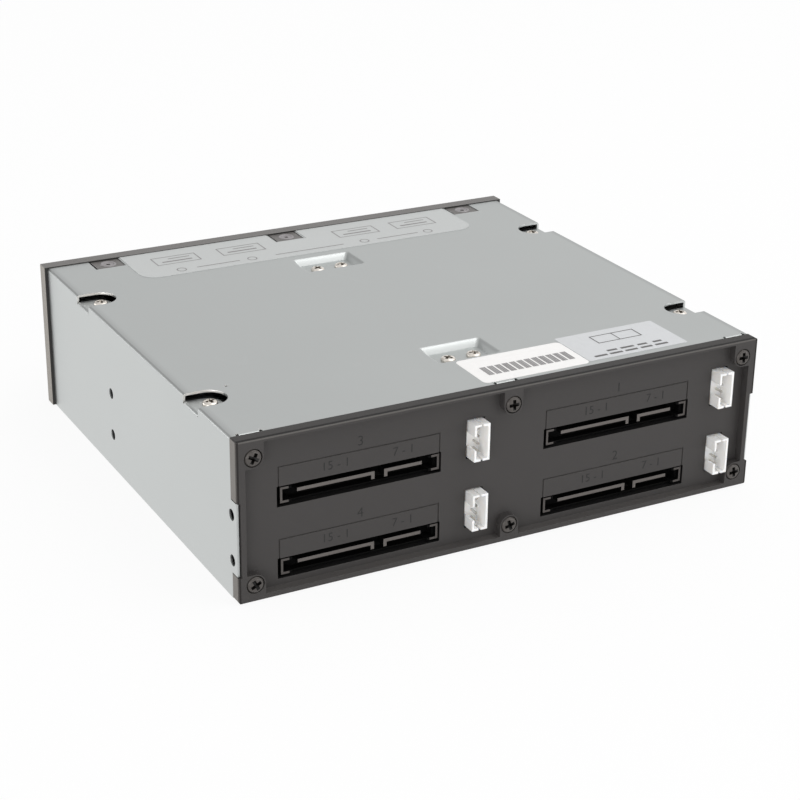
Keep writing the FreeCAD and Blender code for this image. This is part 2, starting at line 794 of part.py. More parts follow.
def drive_connector():
    """Feed-through connector of the right lower bay: plug at the rear, drive socket at the front."""
    x, z = bay_port_centre()
    tip_y = panel_floor_y - plug_setback
    slot_length = plug_length + 2 * plug_play
    flange = box(around(x, slot_length + 2 * port_flange_border), (socket_rear_y, board_front_y),
                 around(z, plug_window_height + 2 * port_flange_border))
    sleeve_height = plug_window_height - 2 * sleeve_play
    sleeve_depth = (board_front_y - weld, board_rear_y + sleeve_reach)
    sleeve = box(around(x, slot_length - 2 * sleeve_play), sleeve_depth,
                 around(z, sleeve_height))
    well = box(around(x, plug_length - 2 * plug_rib), (board_front_y, board_rear_y + overrun),
               around(z, sleeve_height - 2 * sleeve_wall))
    pieces = [sleeve.cut(well)]
    for side in (-1, 1):
        outer = x + plug_shift + side * plug_length / 2
        bracket = box((outer, outer - side * bracket_length), (board_front_y - weld, tip_y),
                      around(z, plug_height))
        hollow = box((outer - side * plug_rib, outer - side * (bracket_length + overrun)),
                     (board_front_y, tip_y + overrun), around(z, plug_height - 2 * plug_rib))
        pieces.append(bracket.cut(hollow))
    for leg_end, free_end in ((power_leg_end, power_free_end), (data_leg_end, data_free_end)):
        pieces.append(plug_key(leg_end, free_end, board_front_y - weld, tip_y - tongue_setback))
    socket = box(around(x, plug_length), (socket_front_y, socket_rear_y + weld), around(z, socket_height))
    slot = box(around(x, plug_length - 2 * plug_rib),
               (socket_front_y - overrun, socket_front_y + socket_slot_depth), around(z, socket_slot_height))
    return joined(flange, socket.cut(slot), *pieces)


def signal_header():
    """White shrouded header of the right lower bay, open to the rear."""
    x, z = bay_header_centre()
    tip_y = board_rear_y + header_height
    floor_y = tip_y - header_cavity
    shroud = box(around(x, header_width), (board_rear_y, tip_y), around(z, header_length))
    cavity = box(around(x, header_width - 2 * header_wall), (floor_y, tip_y + overrun),
                 around(z, header_length - 2 * header_wall))
    wide_slot = box((x, x + header_width), (floor_y, tip_y + overrun), around(z, header_slot))
    slits = box(around(x, header_slit), (floor_y, tip_y + overrun), around(z, header_length + overrun))
    return shroud.cut([cavity, wide_slot, slits])


def header_pins():
    x, z = bay_header_centre()
    floor_y = board_rear_y + header_height - header_cavity
    first = z - pin_pitch * (pin_count - 1) / 2
    pins = []
    for bay in bays:
        for i in range(pin_count):
            pin = box(around(x, pin_side), (floor_y, floor_y + pin_length),
                      around(first + i * pin_pitch, pin_side))
            pins.append(moved(pin, bay_shift(bay)))
    return Part.makeCompound(pins)


# Front bezel

def tray_front_low():
    """Underside of the tray front in a lower bay."""
    return floor_top + tray_rise


def front_bezel():
    x = half_width + bezel_side_overhang
    top = body_height + bezel_top_overhang
    frame = box((-x, x), (bezel_front_y, bezel_back_y), (0, top))
    front_edges = [e for e in frame.Edges if e.BoundBox.YMax < bezel_front_y + hair]
    frame = frame.makeFillet(bezel_edge, front_edges)
    opening = box(around(bay_centre_x, tray_width + 2 * bezel_gap),
                  (bezel_front_y - overrun, bezel_back_y + overrun),
                  (tray_front_low() - bezel_gap, tray_front_low() + front_height + bezel_gap))
    frame = frame.cut([moved(opening, bay_shift(bay)) for bay in bays])
    tabs = []
    dimples = []
    tab_top = body_height - bezel_tab_sink
    for place in bezel_tab_places:
        centre = place - bezel_tab_play + bezel_tab_side_gap
        span = around(centre, bezel_tab_width)
        end = bezel_back_y + bezel_tab_length
        tabs.append(box(span, (bezel_back_y - overrun, end), (tab_top - bezel_tab_thickness, tab_top)))
        tabs.append(box(span, (bezel_back_y - weld, end), (0, bezel_foot_thickness)))
        middle = Vector(centre, bezel_back_y + bezel_tab_length / 2, tab_top)
        ring = rod(clip_ring_radius, middle - Vector(0, 0, weld), middle + Vector(0, 0, clip_ring_rise))
        bore = rod(clip_ring_radius - clip_ring_width, middle, middle + Vector(0, 0, overrun))
        tabs.append(ring.cut(bore))
        dimples.append(rod(clip_dimple_radius, middle - Vector(0, 0, clip_dimple_depth),
                           middle + Vector(0, 0, overrun)))
    return joined(frame, *tabs).cut(dimples)


# One tray, drawn in the right lower bay

tray_low = floor_top + tray_rise
tray_left_x = bay_centre_x - tray_width / 2
tray_right_x = bay_centre_x + tray_width / 2
front_mid_z = tray_low + front_height / 2
bulkhead_y = bezel_front_y + lever_recess
hinge_x = tray_left_x + front_wall + lever_gap + barrel_radius
hinge_y = bezel_front_y + barrel_radius
button_block = button_width + 2 * (button_collar + button_room + front_wall)
block_x = tray_right_x - button_block
button_x = block_x + button_block / 2
light_z = tray_low + front_height - front_wall - light_gap - light_radius - light_collar
button_low = tray_low + front_wall + button_collar + light_gap
button_high = light_z - light_radius - light_collar - light_gap - button_collar
button_height = button_high - button_low
button_z = (button_low + button_high) / 2
collar_back_y = bezel_front_y - button_proud + button_depth
spring_seat_y = collar_back_y + spring_gap
lever_low = tray_low + front_wall + lever_gap
lever_height = front_height - 2 * front_wall - 2 * lever_gap
grille_slot_length = lever_height - 2 * grille_end_land
lever_end_x = block_x - lever_end_gap
hook_x = lever_end_x - hook_from_end
boss_right_x = hook_x - hook_thickness - hook_room - boss_from_hook - tray_boss_radius
tray_screw_places = [(tray_left_x + boss_from_side, tray_low + flange_height / 2),
                     (boss_right_x, tray_low + flange_height / 2)]


def tray_pan():
    """Flat steel sled with an upright front flange, carried on the runners of its bay."""
    outside = bend_inside + tray_sheet
    top = tray_low + tray_sheet
    profile = [
        (pan_rear_y, tray_low), (pan_rear_y, top), (flange_y + tray_sheet, top, bend_inside),
        (flange_y + tray_sheet, tray_low + flange_height), (flange_y, tray_low + flange_height),
        (flange_y, tray_low, outside),
    ]
    pan = slab(profile, on_yz(tray_left_x), Vector(tray_width, 0, 0))
    cuts = []
    first = pan_rear_y - drive_screw_first
    for x in (bay_centre_x - drive_screw_spread, bay_centre_x + drive_screw_spread):
        for y in (first, first - drive_screw_pitch):
            cuts.append(rod(drive_screw_hole, Vector(x, y, tray_low - overrun), Vector(x, y, top + overrun)))
    middle = (pan_rear_y + flange_y) / 2
    for x in (bay_centre_x - pan_slot_spread, bay_centre_x + pan_slot_spread):
        for y in (middle - pan_slot_pitch / 2, middle + pan_slot_pitch / 2):
            cuts.append(box(around(x, pan_slot_width), around(y, pan_slot_length),
                            (tray_low - overrun, top + overrun)))
    for x, z in tray_screw_places:
        cuts.append(rod(tray_screw_radius + screw_play, Vector(x, flange_y - overrun, z),
                        Vector(x, flange_y + tray_sheet + overrun, z)))
    return pan.cut(cuts)


def grille_slots(y_span, corner):
    """A row of upright slots, as many as fit between the hinge and the hook."""
    left = hinge_x + barrel_radius + grille_margin
    right = hook_x - hook_thickness - hook_room - grille_margin
    gaps = int((right - left - grille_slot_width) / grille_slot_pitch)
    first = (left + right - gaps * grille_slot_pitch) / 2
    slots = []
    for i in range(gaps + 1):
        outline = rectangle(around(first + i * grille_slot_pitch, grille_slot_width),
                            around(front_mid_z, grille_slot_length), corner)
        slots.append(slab(outline, on_xz(y_span[0]), Vector(0, y_span[1] - y_span[0], 0)))
    return slots


def tray_front():
    """Moulded front: walls all round, a vented bulkhead behind the lever, a housing for the button."""
    z_span = (tray_low, tray_low + front_height)
    shell = box((tray_left_x, tray_right_x), (bezel_front_y, flange_y), z_span)
    inner_z = (tray_low + front_wall, tray_low + front_height - front_wall)
    recess = box((tray_left_x + front_wall, block_x), (bezel_front_y - overrun, bulkhead_y), inner_z)
    cavity = box((tray_left_x + front_wall, block_x), (bulkhead_y + bulkhead, flange_y + overrun), inner_z)
    chamber = box((block_x + front_wall, tray_right_x - front_wall),
                  (bezel_front_y + button_face, flange_y + overrun), inner_z)
    barrel_room = rod(barrel_radius + lever_gap, Vector(hinge_x, hinge_y, inner_z[0]),
                      Vector(hinge_x, hinge_y, inner_z[1]))
    front = shell.cut([recess, cavity, chamber, barrel_room])
    bosses = [rod(tray_boss_radius, Vector(x, bulkhead_y + bulkhead - weld, z), Vector(x, flange_y, z))
              for x, z in tray_screw_places]
    seat = box((block_x + front_wall / 2, tray_right_x - front_wall / 2),
               (spring_seat_y, spring_seat_y + spring_seat), around(button_z, spring_width + 2 * front_wall))
    front = joined(front, seat, *bosses)
    cuts = grille_slots((bulkhead_y - overrun, bulkhead_y + bulkhead + overrun), 0.0)
    face_span = (bezel_front_y - overrun, bezel_front_y + button_face + overrun)
    cuts.append(box(around(button_x, button_width + 2 * button_play), face_span,
                    around(button_z, button_height + 2 * button_play)))
    cuts.append(rod(light_radius + light_play, Vector(button_x, face_span[0], light_z),
                    Vector(button_x, face_span[1], light_z)))
    cuts.append(box((hook_x - hook_thickness - hook_room, hook_x + hook_room),
                    (bulkhead_y - overrun, bulkhead_y + bulkhead + overrun),
                    around(front_mid_z, hook_height + 2 * hook_room)))
    cuts.append(rod(pin_radius + thread_play,
                    Vector(hinge_x, hinge_y, tray_low + front_wall - pin_seat_depth),
                    Vector(hinge_x, hinge_y, tray_low + front_height + overrun)))
    for x, z in tray_screw_places:
        cuts.append(rod(tray_screw_radius + thread_play, Vector(x, flange_y - tray_screw_length, z),
                        Vector(x, flange_y + overrun, z)))
    return front.cut(cuts)


def lever():
    """Vented handle, a plate that turns on the pin at its left end."""
    front_y = bezel_front_y
    back_y = bezel_front_y + lever_thickness
    depth = Vector(0, lever_thickness, 0)
    lever_top = lever_low + lever_height
    corners = [(hinge_x, lever_low), (lever_end_x, lever_low, lever_thickness / 2),
               (lever_end_x, lever_top, lever_thickness / 2), (hinge_x, lever_top)]
    plate = slab(corners, on_xz(front_y), depth)
    barrel = rod(barrel_radius, Vector(hinge_x, hinge_y, lever_low), Vector(hinge_x, hinge_y, lever_top))
    hook = box((hook_x - hook_thickness, hook_x), (back_y - weld, back_y + hook_length),
               around(front_mid_z, hook_height))
    cuts = grille_slots((front_y - overrun, back_y + overrun), grille_slot_width / 2 - hair)
    for i in range(lever_ridge_count):
        x = lever_end_x - lever_ridge_pitch * (i + 1)
        cuts.append(box(around(x, lever_ridge_width), (front_y - overrun, front_y + lever_ridge),
                        around(front_mid_z, grille_slot_length)))
    cuts.append(rod(pin_radius + pin_running_play, Vector(hinge_x, hinge_y, lever_low - overrun),
                    Vector(hinge_x, hinge_y, lever_top + overrun)))
    return joined(plate, barrel, hook).cut(cuts)


def lever_pin():
    return rod(pin_radius, Vector(hinge_x, hinge_y, tray_low + front_wall - pin_seat_depth),
               Vector(hinge_x, hinge_y, tray_low + front_height))


def release_button():
    """Push button with a collar that stops against the back of the housing's face."""
    front_y = bezel_front_y - button_proud
    outline = rectangle(around(button_x, button_width), around(button_z, button_height), button_play)
    cap = slab(outline, on_xz(front_y), Vector(0, button_depth, 0))
    collar_front = bezel_front_y + button_face + button_play
    collar = box(around(button_x, button_width + 2 * button_collar), (collar_front, collar_back_y),
                 around(button_z, button_height + 2 * button_collar))
    return joined(cap, collar)


def button_spring():
    """Strip bent to a U, one leg on the seat and the other under the button."""
    y0 = collar_back_y
    y1 = spring_seat_y
    outer = (y1 - y0) / 2
    inner = outer - spring_strip
    tip = button_x - spring_leg
    turn = button_x + spring_leg - outer
    low = button_z - spring_width / 2
    profile = [(tip, y0), (turn + outer, y0, outer - hair), (turn + outer, y1, outer - hair), (tip, y1),
               (tip, y1 - spring_strip), (turn + inner, y1 - spring_strip, inner - hair),
               (turn + inner, y0 + spring_strip, inner - hair), (tip, y0 + spring_strip)]
    return slab(profile, on_xy(low), Vector(0, 0, spring_width))


def light_guide():
    """Clear rod with a collar that seats against the back of the housing's face."""
    start = Vector(button_x, bezel_front_y, light_z)
    seat = Vector(button_x, bezel_front_y + button_face, light_z)
    stem = rod(light_radius, start, start + Vector(0, light_length, 0))
    collar = rod(light_radius + light_collar, seat, seat + Vector(0, light_collar_thickness, 0))
    return joined(stem, collar)


def tray_screws():
    screw = pan_screw(tray_screw_head_radius, tray_screw_head_height, tray_screw_radius,
                      tray_sheet + tray_screw_length)
    screw.rotate(Vector(0, 0, 0), Vector(1, 0, 0), -90)
    head_y = flange_y + tray_sheet
    return Part.makeCompound([moved(screw, Vector(x, head_y, z)) for x, z in tray_screw_places])


# Labels

def flat_label(size, centre, corner):
    x, from_rim = centre
    outline = rectangle(around(x, size[0]), around(rim_y - from_rim, size[1]), corner)
    return slab(outline, on_xy(body_height), Vector(0, 0, label_thickness))


def guide_label():
    """Wide label along the front edge, cut out round the middle bezel tab."""
    low_x, high_x = around(guide_label_x, guide_label_length)
    rear = bezel_back_y + guide_label_width
    outline = [(low_x, bezel_back_y), (high_x, bezel_back_y), (high_x, rear, guide_label_corner),
               (low_x, rear, guide_label_corner)]
    label = slab(outline, on_xy(body_height), Vector(0, 0, label_thickness))
    notch = bezel_tab_width + 2 * bezel_tab_play + 2 * guide_label_play
    reach = bezel_back_y + bezel_tab_length + bezel_tab_play + guide_label_play
    depth = (body_height - overrun, body_height + overrun)
    cuts = [box(around(x, notch), (bezel_back_y - overrun, reach), depth) for x in bezel_tab_places]
    return label.cut(cuts)


def build():
    """Every piece by its name."""
    pieces = {
        "steel_cover": steel_cover(),
        "floor_pan": floor_pan(),
        "bay_channel_right": bay_channel(),
        "lower_divider": lower_divider(),
        "cover_screws": cover_screws(),
        "pocket_screws": pocket_screws(),
        "rear_panel": rear_panel(),
        "rear_screws": rear_screws(),
        "backplane_board": backplane_board(),
        "board_screws": board_screws(),
        "header_pins": header_pins(),
        "front_bezel": front_bezel(),
        "barcode_label": flat_label(barcode_label_size, barcode_label_centre, barcode_label_corner),
        "rating_label": flat_label(rating_label_size, rating_label_centre, rating_label_corner),
        "guide_label": guide_label(),
    }
    pieces["bay_channel_left"] = mirrored(pieces["bay_channel_right"])
    per_bay = {
        "drive_connector": drive_connector(),
        "signal_header": signal_header(),
        "tray_pan": tray_pan(),
        "tray_front": tray_front(),
        "lever": lever(),
        "lever_pin": lever_pin(),
        "release_button": release_button(),
        "button_spring": button_spring(),
        "light_guide": light_guide(),
        "tray_screws": tray_screws(),
    }
    for bay in bays:
        for name, shape in per_bay.items():
            pieces[f"{name}_{bay}"] = moved(shape, bay_shift(bay))
    return pieces


def main():
    os.makedirs("parts", exist_ok=True)
    for name, shape in build().items():
        shape.exportStep(f"parts/{name}.step")


main()
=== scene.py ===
"""Looks of the four-bay drive rack: plated sheet, black mouldings, white headers and labels."""

import json
import math

import bmesh
import bpy
from mathutils import Matrix, Vector

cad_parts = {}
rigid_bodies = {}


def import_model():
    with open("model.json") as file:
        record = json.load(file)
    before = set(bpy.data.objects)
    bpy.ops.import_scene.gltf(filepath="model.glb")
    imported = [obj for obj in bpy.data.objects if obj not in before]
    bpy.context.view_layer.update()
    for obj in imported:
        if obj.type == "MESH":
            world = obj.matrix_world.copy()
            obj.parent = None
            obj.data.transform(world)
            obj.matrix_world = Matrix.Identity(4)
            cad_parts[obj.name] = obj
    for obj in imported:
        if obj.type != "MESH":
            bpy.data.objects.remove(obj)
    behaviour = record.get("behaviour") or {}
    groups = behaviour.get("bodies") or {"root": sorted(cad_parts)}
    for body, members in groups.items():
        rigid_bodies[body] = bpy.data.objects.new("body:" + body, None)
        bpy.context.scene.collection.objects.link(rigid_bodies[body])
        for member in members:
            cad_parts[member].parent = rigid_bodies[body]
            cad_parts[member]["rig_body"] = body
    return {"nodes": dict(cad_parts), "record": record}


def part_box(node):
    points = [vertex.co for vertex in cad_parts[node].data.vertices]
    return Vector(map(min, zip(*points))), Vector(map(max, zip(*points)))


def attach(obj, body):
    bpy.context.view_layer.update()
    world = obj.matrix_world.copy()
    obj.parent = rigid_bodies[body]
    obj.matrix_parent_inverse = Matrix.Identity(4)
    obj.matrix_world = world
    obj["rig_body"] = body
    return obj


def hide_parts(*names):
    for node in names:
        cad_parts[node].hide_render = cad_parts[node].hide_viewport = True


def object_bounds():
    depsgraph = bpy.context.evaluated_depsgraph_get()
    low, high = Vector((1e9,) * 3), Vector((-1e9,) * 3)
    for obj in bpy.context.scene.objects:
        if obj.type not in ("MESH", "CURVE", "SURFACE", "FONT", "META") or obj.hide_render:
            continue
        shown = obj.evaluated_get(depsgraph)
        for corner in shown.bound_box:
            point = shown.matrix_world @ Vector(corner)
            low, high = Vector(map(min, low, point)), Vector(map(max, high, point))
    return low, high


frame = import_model()
cad_low, cad_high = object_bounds()
nodes = frame["nodes"]
slot_of = {part["node"]: part["material_slot"] for part in frame["record"]["subparts"]}
panel_low, panel_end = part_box("rear_panel")
cover_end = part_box("steel_cover")[1]

MM = 0.001
BAYS = (1, 2, 3, 4)
SCENE = bpy.context.scene
FLOAT, COLOUR, VECTOR = "NodeSocketFloat", "NodeSocketColor", "NodeSocketVector"


# Small helpers for node trees

def fill(tree, inputs, values):
    """Links the values that come from a node to their inputs, and writes the others there."""
    for key, value in values.items():
        if isinstance(value, bpy.types.NodeSocket):
            tree.links.new(value, inputs[key])
        else:
            inputs[key].default_value = value


def node(tree, kind, sockets=None, **settings):
    """Adds a node, sets its properties, and fills or links its inputs."""
    made = tree.nodes.new(kind)
    for key, value in settings.items():
        setattr(made, key, value)
    fill(tree, made.inputs, sockets or {})
    return made


def maths(tree, operation, first, second=0.0, clamp=False):
    made = node(tree, "ShaderNodeMath", {0: first, 1: second},
                operation=operation, use_clamp=clamp)
    return made.outputs[0]


def times(tree, first, second):
    return maths(tree, "MULTIPLY", first, second)


def blend_colour(tree, factor, first, second):
    made = node(tree, "ShaderNodeMix", {0: factor, 6: first, 7: second}, data_type="RGBA")
    return made.outputs[2]


def remap(tree, value, low, high, to_low, to_high):
    sockets = {"Value": value, "From Min": low, "From Max": high,
               "To Min": to_low, "To Max": to_high}
    return node(tree, "ShaderNodeMapRange", sockets).outputs["Result"]


def noise(tree, vector, scale, detail, **more):
    sockets = {"Vector": vector, "Scale": scale, "Detail": detail, **more}
    return node(tree, "ShaderNodeTexNoise", sockets).outputs["Fac"]


def new_group(name, inputs, outputs, kind="ShaderNodeTree"):
    """A node group with named sockets; returns the tree, its inputs and its outputs."""
    tree = bpy.data.node_groups.new(name, kind)
    for label, socket_type, *value in inputs:
        socket = tree.interface.new_socket(label, in_out="INPUT", socket_type=socket_type)
        if value:
            socket.default_value = value[0]
    for label, socket_type in outputs:
        tree.interface.new_socket(label, in_out="OUTPUT", socket_type=socket_type)
    given = tree.nodes.new("NodeGroupInput").outputs
    return tree, given, tree.nodes.new("NodeGroupOutput").inputs


# Effects that several finishes share

SKIN = (("Color", COLOUR), ("Roughness", FLOAT), ("Height", FLOAT))


def build_moulded_grain():
    """Fine spark-eroded skin of a moulding, with a slow drift of tone."""
    tree, given, result = new_group(
        "Moulded grain",
        [("Vector", VECTOR), ("Base", COLOUR, (0.05, 0.05, 0.05, 1)),
         ("Lift", COLOUR, (0.08, 0.08, 0.08, 1)), ("Grain scale", FLOAT, 2600.0),
         ("Drift scale", FLOAT, 30.0), ("Roughness", FLOAT, 0.5)], SKIN)
    fine = noise(tree, given["Vector"], given["Grain scale"], 3.0, Roughness=0.6)
    drift = noise(tree, given["Vector"], given["Drift scale"], 4.0, Roughness=0.55)
    grain = remap(tree, fine, 0.35, 0.7, 0.0, 1.0)
    tone = maths(tree, "ADD", times(tree, grain, 0.45), times(tree, drift, 0.5), clamp=True)
    shift = remap(tree, maths(tree, "ADD", grain, drift), 0.2, 1.4, -0.07, 0.08)
    fill(tree, result, {
        "Color": blend_colour(tree, tone, given["Base"], given["Lift"]),
        "Roughness": maths(tree, "ADD", given["Roughness"], shift, clamp=True),
        "Height": fine,
    })
    return tree


def build_rolled_sheet():
    """Plated sheet: long faint rolling lines and a cloudy drift of the plating."""
    tree, given, result = new_group(
        "Rolled sheet",
        [("Vector", VECTOR), ("Base", COLOUR, (0.5, 0.5, 0.5, 1)),
         ("Lift", COLOUR, (0.6, 0.6, 0.6, 1)), ("Line scale", FLOAT, 1500.0),
         ("Cloud scale", FLOAT, 28.0), ("Roughness", FLOAT, 0.4)], SKIN)
    stretched = node(tree, "ShaderNodeMapping",
                     {"Vector": given["Vector"], "Scale": (1.0, 0.02, 1.0)}).outputs["Vector"]
    lines = noise(tree, stretched, given["Line scale"], 4.0, Roughness=0.65)
    cloud = noise(tree, given["Vector"], given["Cloud scale"], 5.0, Roughness=0.6)
    speck = noise(tree, given["Vector"], given["Line scale"], 2.0, Roughness=0.5)
    tone = maths(tree, "ADD", times(tree, lines, 0.35), times(tree, cloud, 0.65), clamp=True)
    share = remap(tree, tone, 0.3, 0.7, 0.0, 1.0)
    shift = remap(tree, tone, 0.3, 0.7, -0.05, 0.06)
    fill(tree, result, {
        "Color": blend_colour(tree, share, given["Base"], given["Lift"]),
        "Roughness": maths(tree, "ADD", given["Roughness"], shift, clamp=True),
        "Height": maths(tree, "ADD", lines, times(tree, speck, 0.6)),
    })
    return tree


def build_fine_scratches():
    """A few hair-thin handling marks, as a mask."""
    tree, given, result = new_group(
        "Fine scratches",
        [("Vector", VECTOR), ("Scale", FLOAT, 60.0), ("Width", FLOAT, 0.006)], [("Mask", FLOAT)])
    turned = node(tree, "ShaderNodeMapping",
                  {"Vector": given["Vector"], "Rotation": (0.0, 0.0, 0.7),
                   "Scale": (1.0, 0.18, 1.0)}).outputs["Vector"]
    path = noise(tree, turned, given["Scale"], 1.0, Distortion=0.4)
    patch = noise(tree, given["Vector"], times(tree, given["Scale"], 1.7), 2.0)
    off_line = maths(tree, "ABSOLUTE", maths(tree, "SUBTRACT", path, 0.5))
    line = maths(tree, "LESS_THAN", off_line, given["Width"])
    scratched = maths(tree, "GREATER_THAN", patch, 0.58)
    fill(tree, result, {"Mask": times(tree, line, scratched)})
    return tree


def build_rubbed_edge():
    """Rounded edges made lighter, partly by wear and partly as a painted highlight: the edge
    attribute broken up by noise.
    """
    tree, given, result = new_group(
        "Edge wear and highlight",
        [("Vector", VECTOR), ("Edge", FLOAT, 0.0), ("Amount", FLOAT, 0.5)], [("Mask", FLOAT)])
    broken = remap(tree, noise(tree, given["Vector"], 260.0, 3.0), 0.35, 0.65, 0.35, 1.0)
    edge = times(tree, given["Edge"], broken)
    fill(tree, result, {"Mask": maths(tree, "MULTIPLY", edge, given["Amount"], clamp=True)})
    return tree


moulded_grain = build_moulded_grain()
rolled_sheet = build_rolled_sheet()
fine_scratches = build_fine_scratches()
edge_wear_and_highlight = build_rubbed_edge()


# Finishes

def new_finish(name):
    """An empty material; returns it, its tree, its Principled shader and Object coordinates."""
    material = bpy.data.materials.new(name)
    material.use_nodes = True
    tree = material.node_tree
    tree.nodes.clear()
    shader = tree.nodes.new("ShaderNodeBsdfPrincipled")
    output = tree.nodes.new("ShaderNodeOutputMaterial")
    tree.links.new(shader.outputs["BSDF"], output.inputs["Surface"])
    return material, tree, shader, tree.nodes.new("ShaderNodeTexCoord").outputs["Object"]


def use_group(tree, group, sockets):
    return node(tree, "ShaderNodeGroup", sockets, node_tree=group).outputs


def skin_of(tree, group, coords, base, lift, roughness, scales=None):
    """The colour, roughness and height that a shared effect gives between two tones."""
    sockets = {"Vector": coords, "Base": (*base, 1), "Lift": (*lift, 1), "Roughness": roughness}
    return use_group(tree, group, {**sockets, **(scales or {})})


def bump(tree, shader, height, distance, strength):
    made = node(tree, "ShaderNodeBump",
                {"Height": height, "Distance": distance, "Strength": strength})
    tree.links.new(made.outputs["Normal"], shader.inputs["Normal"])


def face_mask(tree, label):
    """A mask that a piece carries on its faces."""
    return node(tree, "ShaderNodeAttribute", attribute_name=label).outputs["Fac"]


# Mask of rounded edges that are lighter, partly from wear and partly as a painted highlight.
def edge_mask(tree, coords, amount):
    sockets = {"Vector": coords, "Edge": face_mask(tree, "edge"), "Amount": amount}
    return use_group(tree, edge_wear_and_highlight, sockets)["Mask"]


def stripe(tree, coords, label, axis, low, high):
    """A thin line across the marked faces, between two distances along an axis."""
    along = node(tree, "ShaderNodeSeparateXYZ", {"Vector": coords}).outputs[axis]
    middle, half = (low + high) / 2, (high - low) / 2
    line = node(tree, "ShaderNodeMath", {0: along, 1: middle, 2: half}, operation="COMPARE")
    return times(tree, line.outputs[0], face_mask(tree, label))


def moulding_finish(name, base, lift, edge_tone, roughness=0.5, grain=2600.0, depth=0.02,
                    marked=(), gloss=0.5, lines=(), glow=0.0):
    """Moulded plastic: fine grain, polished edges made lighter by wear and a painted highlight, and
    the tones of marked faces, mostly painted shade and highlights.
    """
    material, tree, shader, coords = new_finish(name)
    skin = skin_of(tree, moulded_grain, coords, base, lift, roughness, {"Grain scale": grain})
    # Rounded edges lighter: partly wear, partly a painted highlight.
    worn_and_lit = edge_mask(tree, coords, 0.8)
    colour = blend_colour(tree, worn_and_lit, skin["Color"], (*edge_tone, 1))
    for label, tone in marked:
        colour = blend_colour(tree, face_mask(tree, label), colour, (*tone, 1))
    for *place, tone in lines:
        colour = blend_colour(tree, stripe(tree, coords, *place), colour, (*tone, 1))
    polish = times(tree, worn_and_lit, 0.12)
    fill(tree, shader.inputs, {
        "Base Color": colour,
        "Roughness": maths(tree, "SUBTRACT", skin["Roughness"], polish, clamp=True),
        "Specular IOR Level": gloss,
        "Subsurface Weight": glow,
        "Subsurface Radius": (1.0, 0.9, 0.8),
        "Subsurface Scale": 1.5 * MM,
    })
    bump(tree, shader, skin["Height"], depth * MM, 0.6)
    return material


def sheet_finish(name, base, lift, roughness, fold=(0.0, 0.0), shade=0.0):
    """Zinc-plated sheet: rolling lines, handling marks, painted shade along the folds, edges
    lighter by wear and a painted highlight, and a painted highlight on sheared edges.

    The fold is given by how far out and how high it lies, the shade by how much painted shade
    darkens the top beside it.
    """
    material, tree, shader, coords = new_finish(name)
    skin = skin_of(tree, rolled_sheet, coords, base, lift, roughness)
    marks = times(tree, use_group(tree, fine_scratches, {"Vector": coords})["Mask"], 0.03)
    # Painted shade: the bends of the folds and a band of the top beside them are darkened.
    place = node(tree, "ShaderNodeSeparateXYZ", {"Vector": coords}).outputs
    inward = maths(tree, "SUBTRACT", fold[0], maths(tree, "ABSOLUTE", place["X"]))
    level = remap(tree, place["Z"], fold[1] - 0.5 * MM, fold[1] - 0.1 * MM, 0.0, shade)
    beside = times(tree, level, remap(tree, inward, 0.9 * MM, 2.4 * MM, 1.0, 0.0))
    fold_shade = maths(tree, "MAXIMUM", beside, times(tree, face_mask(tree, "fold"), 0.24))
    colour = skin["Color"]
    # Painted shade on the folds, lighter edges from wear and a painted highlight, and a painted
    # highlight on the cuts.
    for mask, tone in ((marks, (0.75, 0.76, 0.76)), (fold_shade, (0.16, 0.16, 0.16)),
                       (edge_mask(tree, coords, 0.5), (0.66, 0.66, 0.65)),
                       (face_mask(tree, "cut"), (0.96, 0.94, 0.91))):
        colour = blend_colour(tree, mask, colour, (*tone, 1))
    fill(tree, shader.inputs,
         {"Base Color": colour, "Roughness": skin["Roughness"], "Metallic": 1.0})
    bump(tree, shader, skin["Height"], 0.004 * MM, 0.35)
    return material


def plated_finish(name, base, lift, roughness, metallic=1.0, recess=(0.05, 0.046, 0.042)):
    """Turned and plated small parts: screws, pins and contacts, with painted shade in the driver
    recess.
    """
    material, tree, shader, coords = new_finish(name)
    skin = skin_of(tree, rolled_sheet, coords, base, lift, roughness,
                   {"Line scale": 3200.0, "Cloud scale": 420.0})
    # Painted shade in the driver recess.
    colour = blend_colour(tree, face_mask(tree, "recess"), skin["Color"], (*recess, 1))
    fill(tree, shader.inputs,
         {"Base Color": colour, "Roughness": skin["Roughness"], "Metallic": metallic})
    bump(tree, shader, skin["Height"], 0.003 * MM, 0.4)
    return material


def film_finish(name, base, lift, roughness, coat):
    """Printed or blank label film with a faint orange-peel gloss."""
    material, tree, shader, coords = new_finish(name)
    skin = skin_of(tree, moulded_grain, coords, base, lift, roughness,
                   {"Grain scale": 900.0, "Drift scale": 60.0})
    fill(tree, shader.inputs, {"Base Color": skin["Color"], "Roughness": skin["Roughness"],
                               "Coat Weight": coat, "Coat Roughness": 0.25})
    bump(tree, shader, skin["Height"], 0.004 * MM, 0.3)
    return material


def clear_finish(name):
    """Clear moulded rod that carries light, with flow lines."""
    material, tree, shader, coords = new_finish(name)
    skin = skin_of(tree, moulded_grain, coords, (0.82, 0.88, 0.94), (0.95, 0.97, 1.0), 0.16,
                   {"Grain scale": 700.0})
    fill(tree, shader.inputs, {"Base Color": skin["Color"], "Roughness": skin["Roughness"],
                               "Transmission Weight": 0.85, "IOR": 1.49})
    bump(tree, shader, skin["Height"], 0.001 * MM, 0.1)
    return material


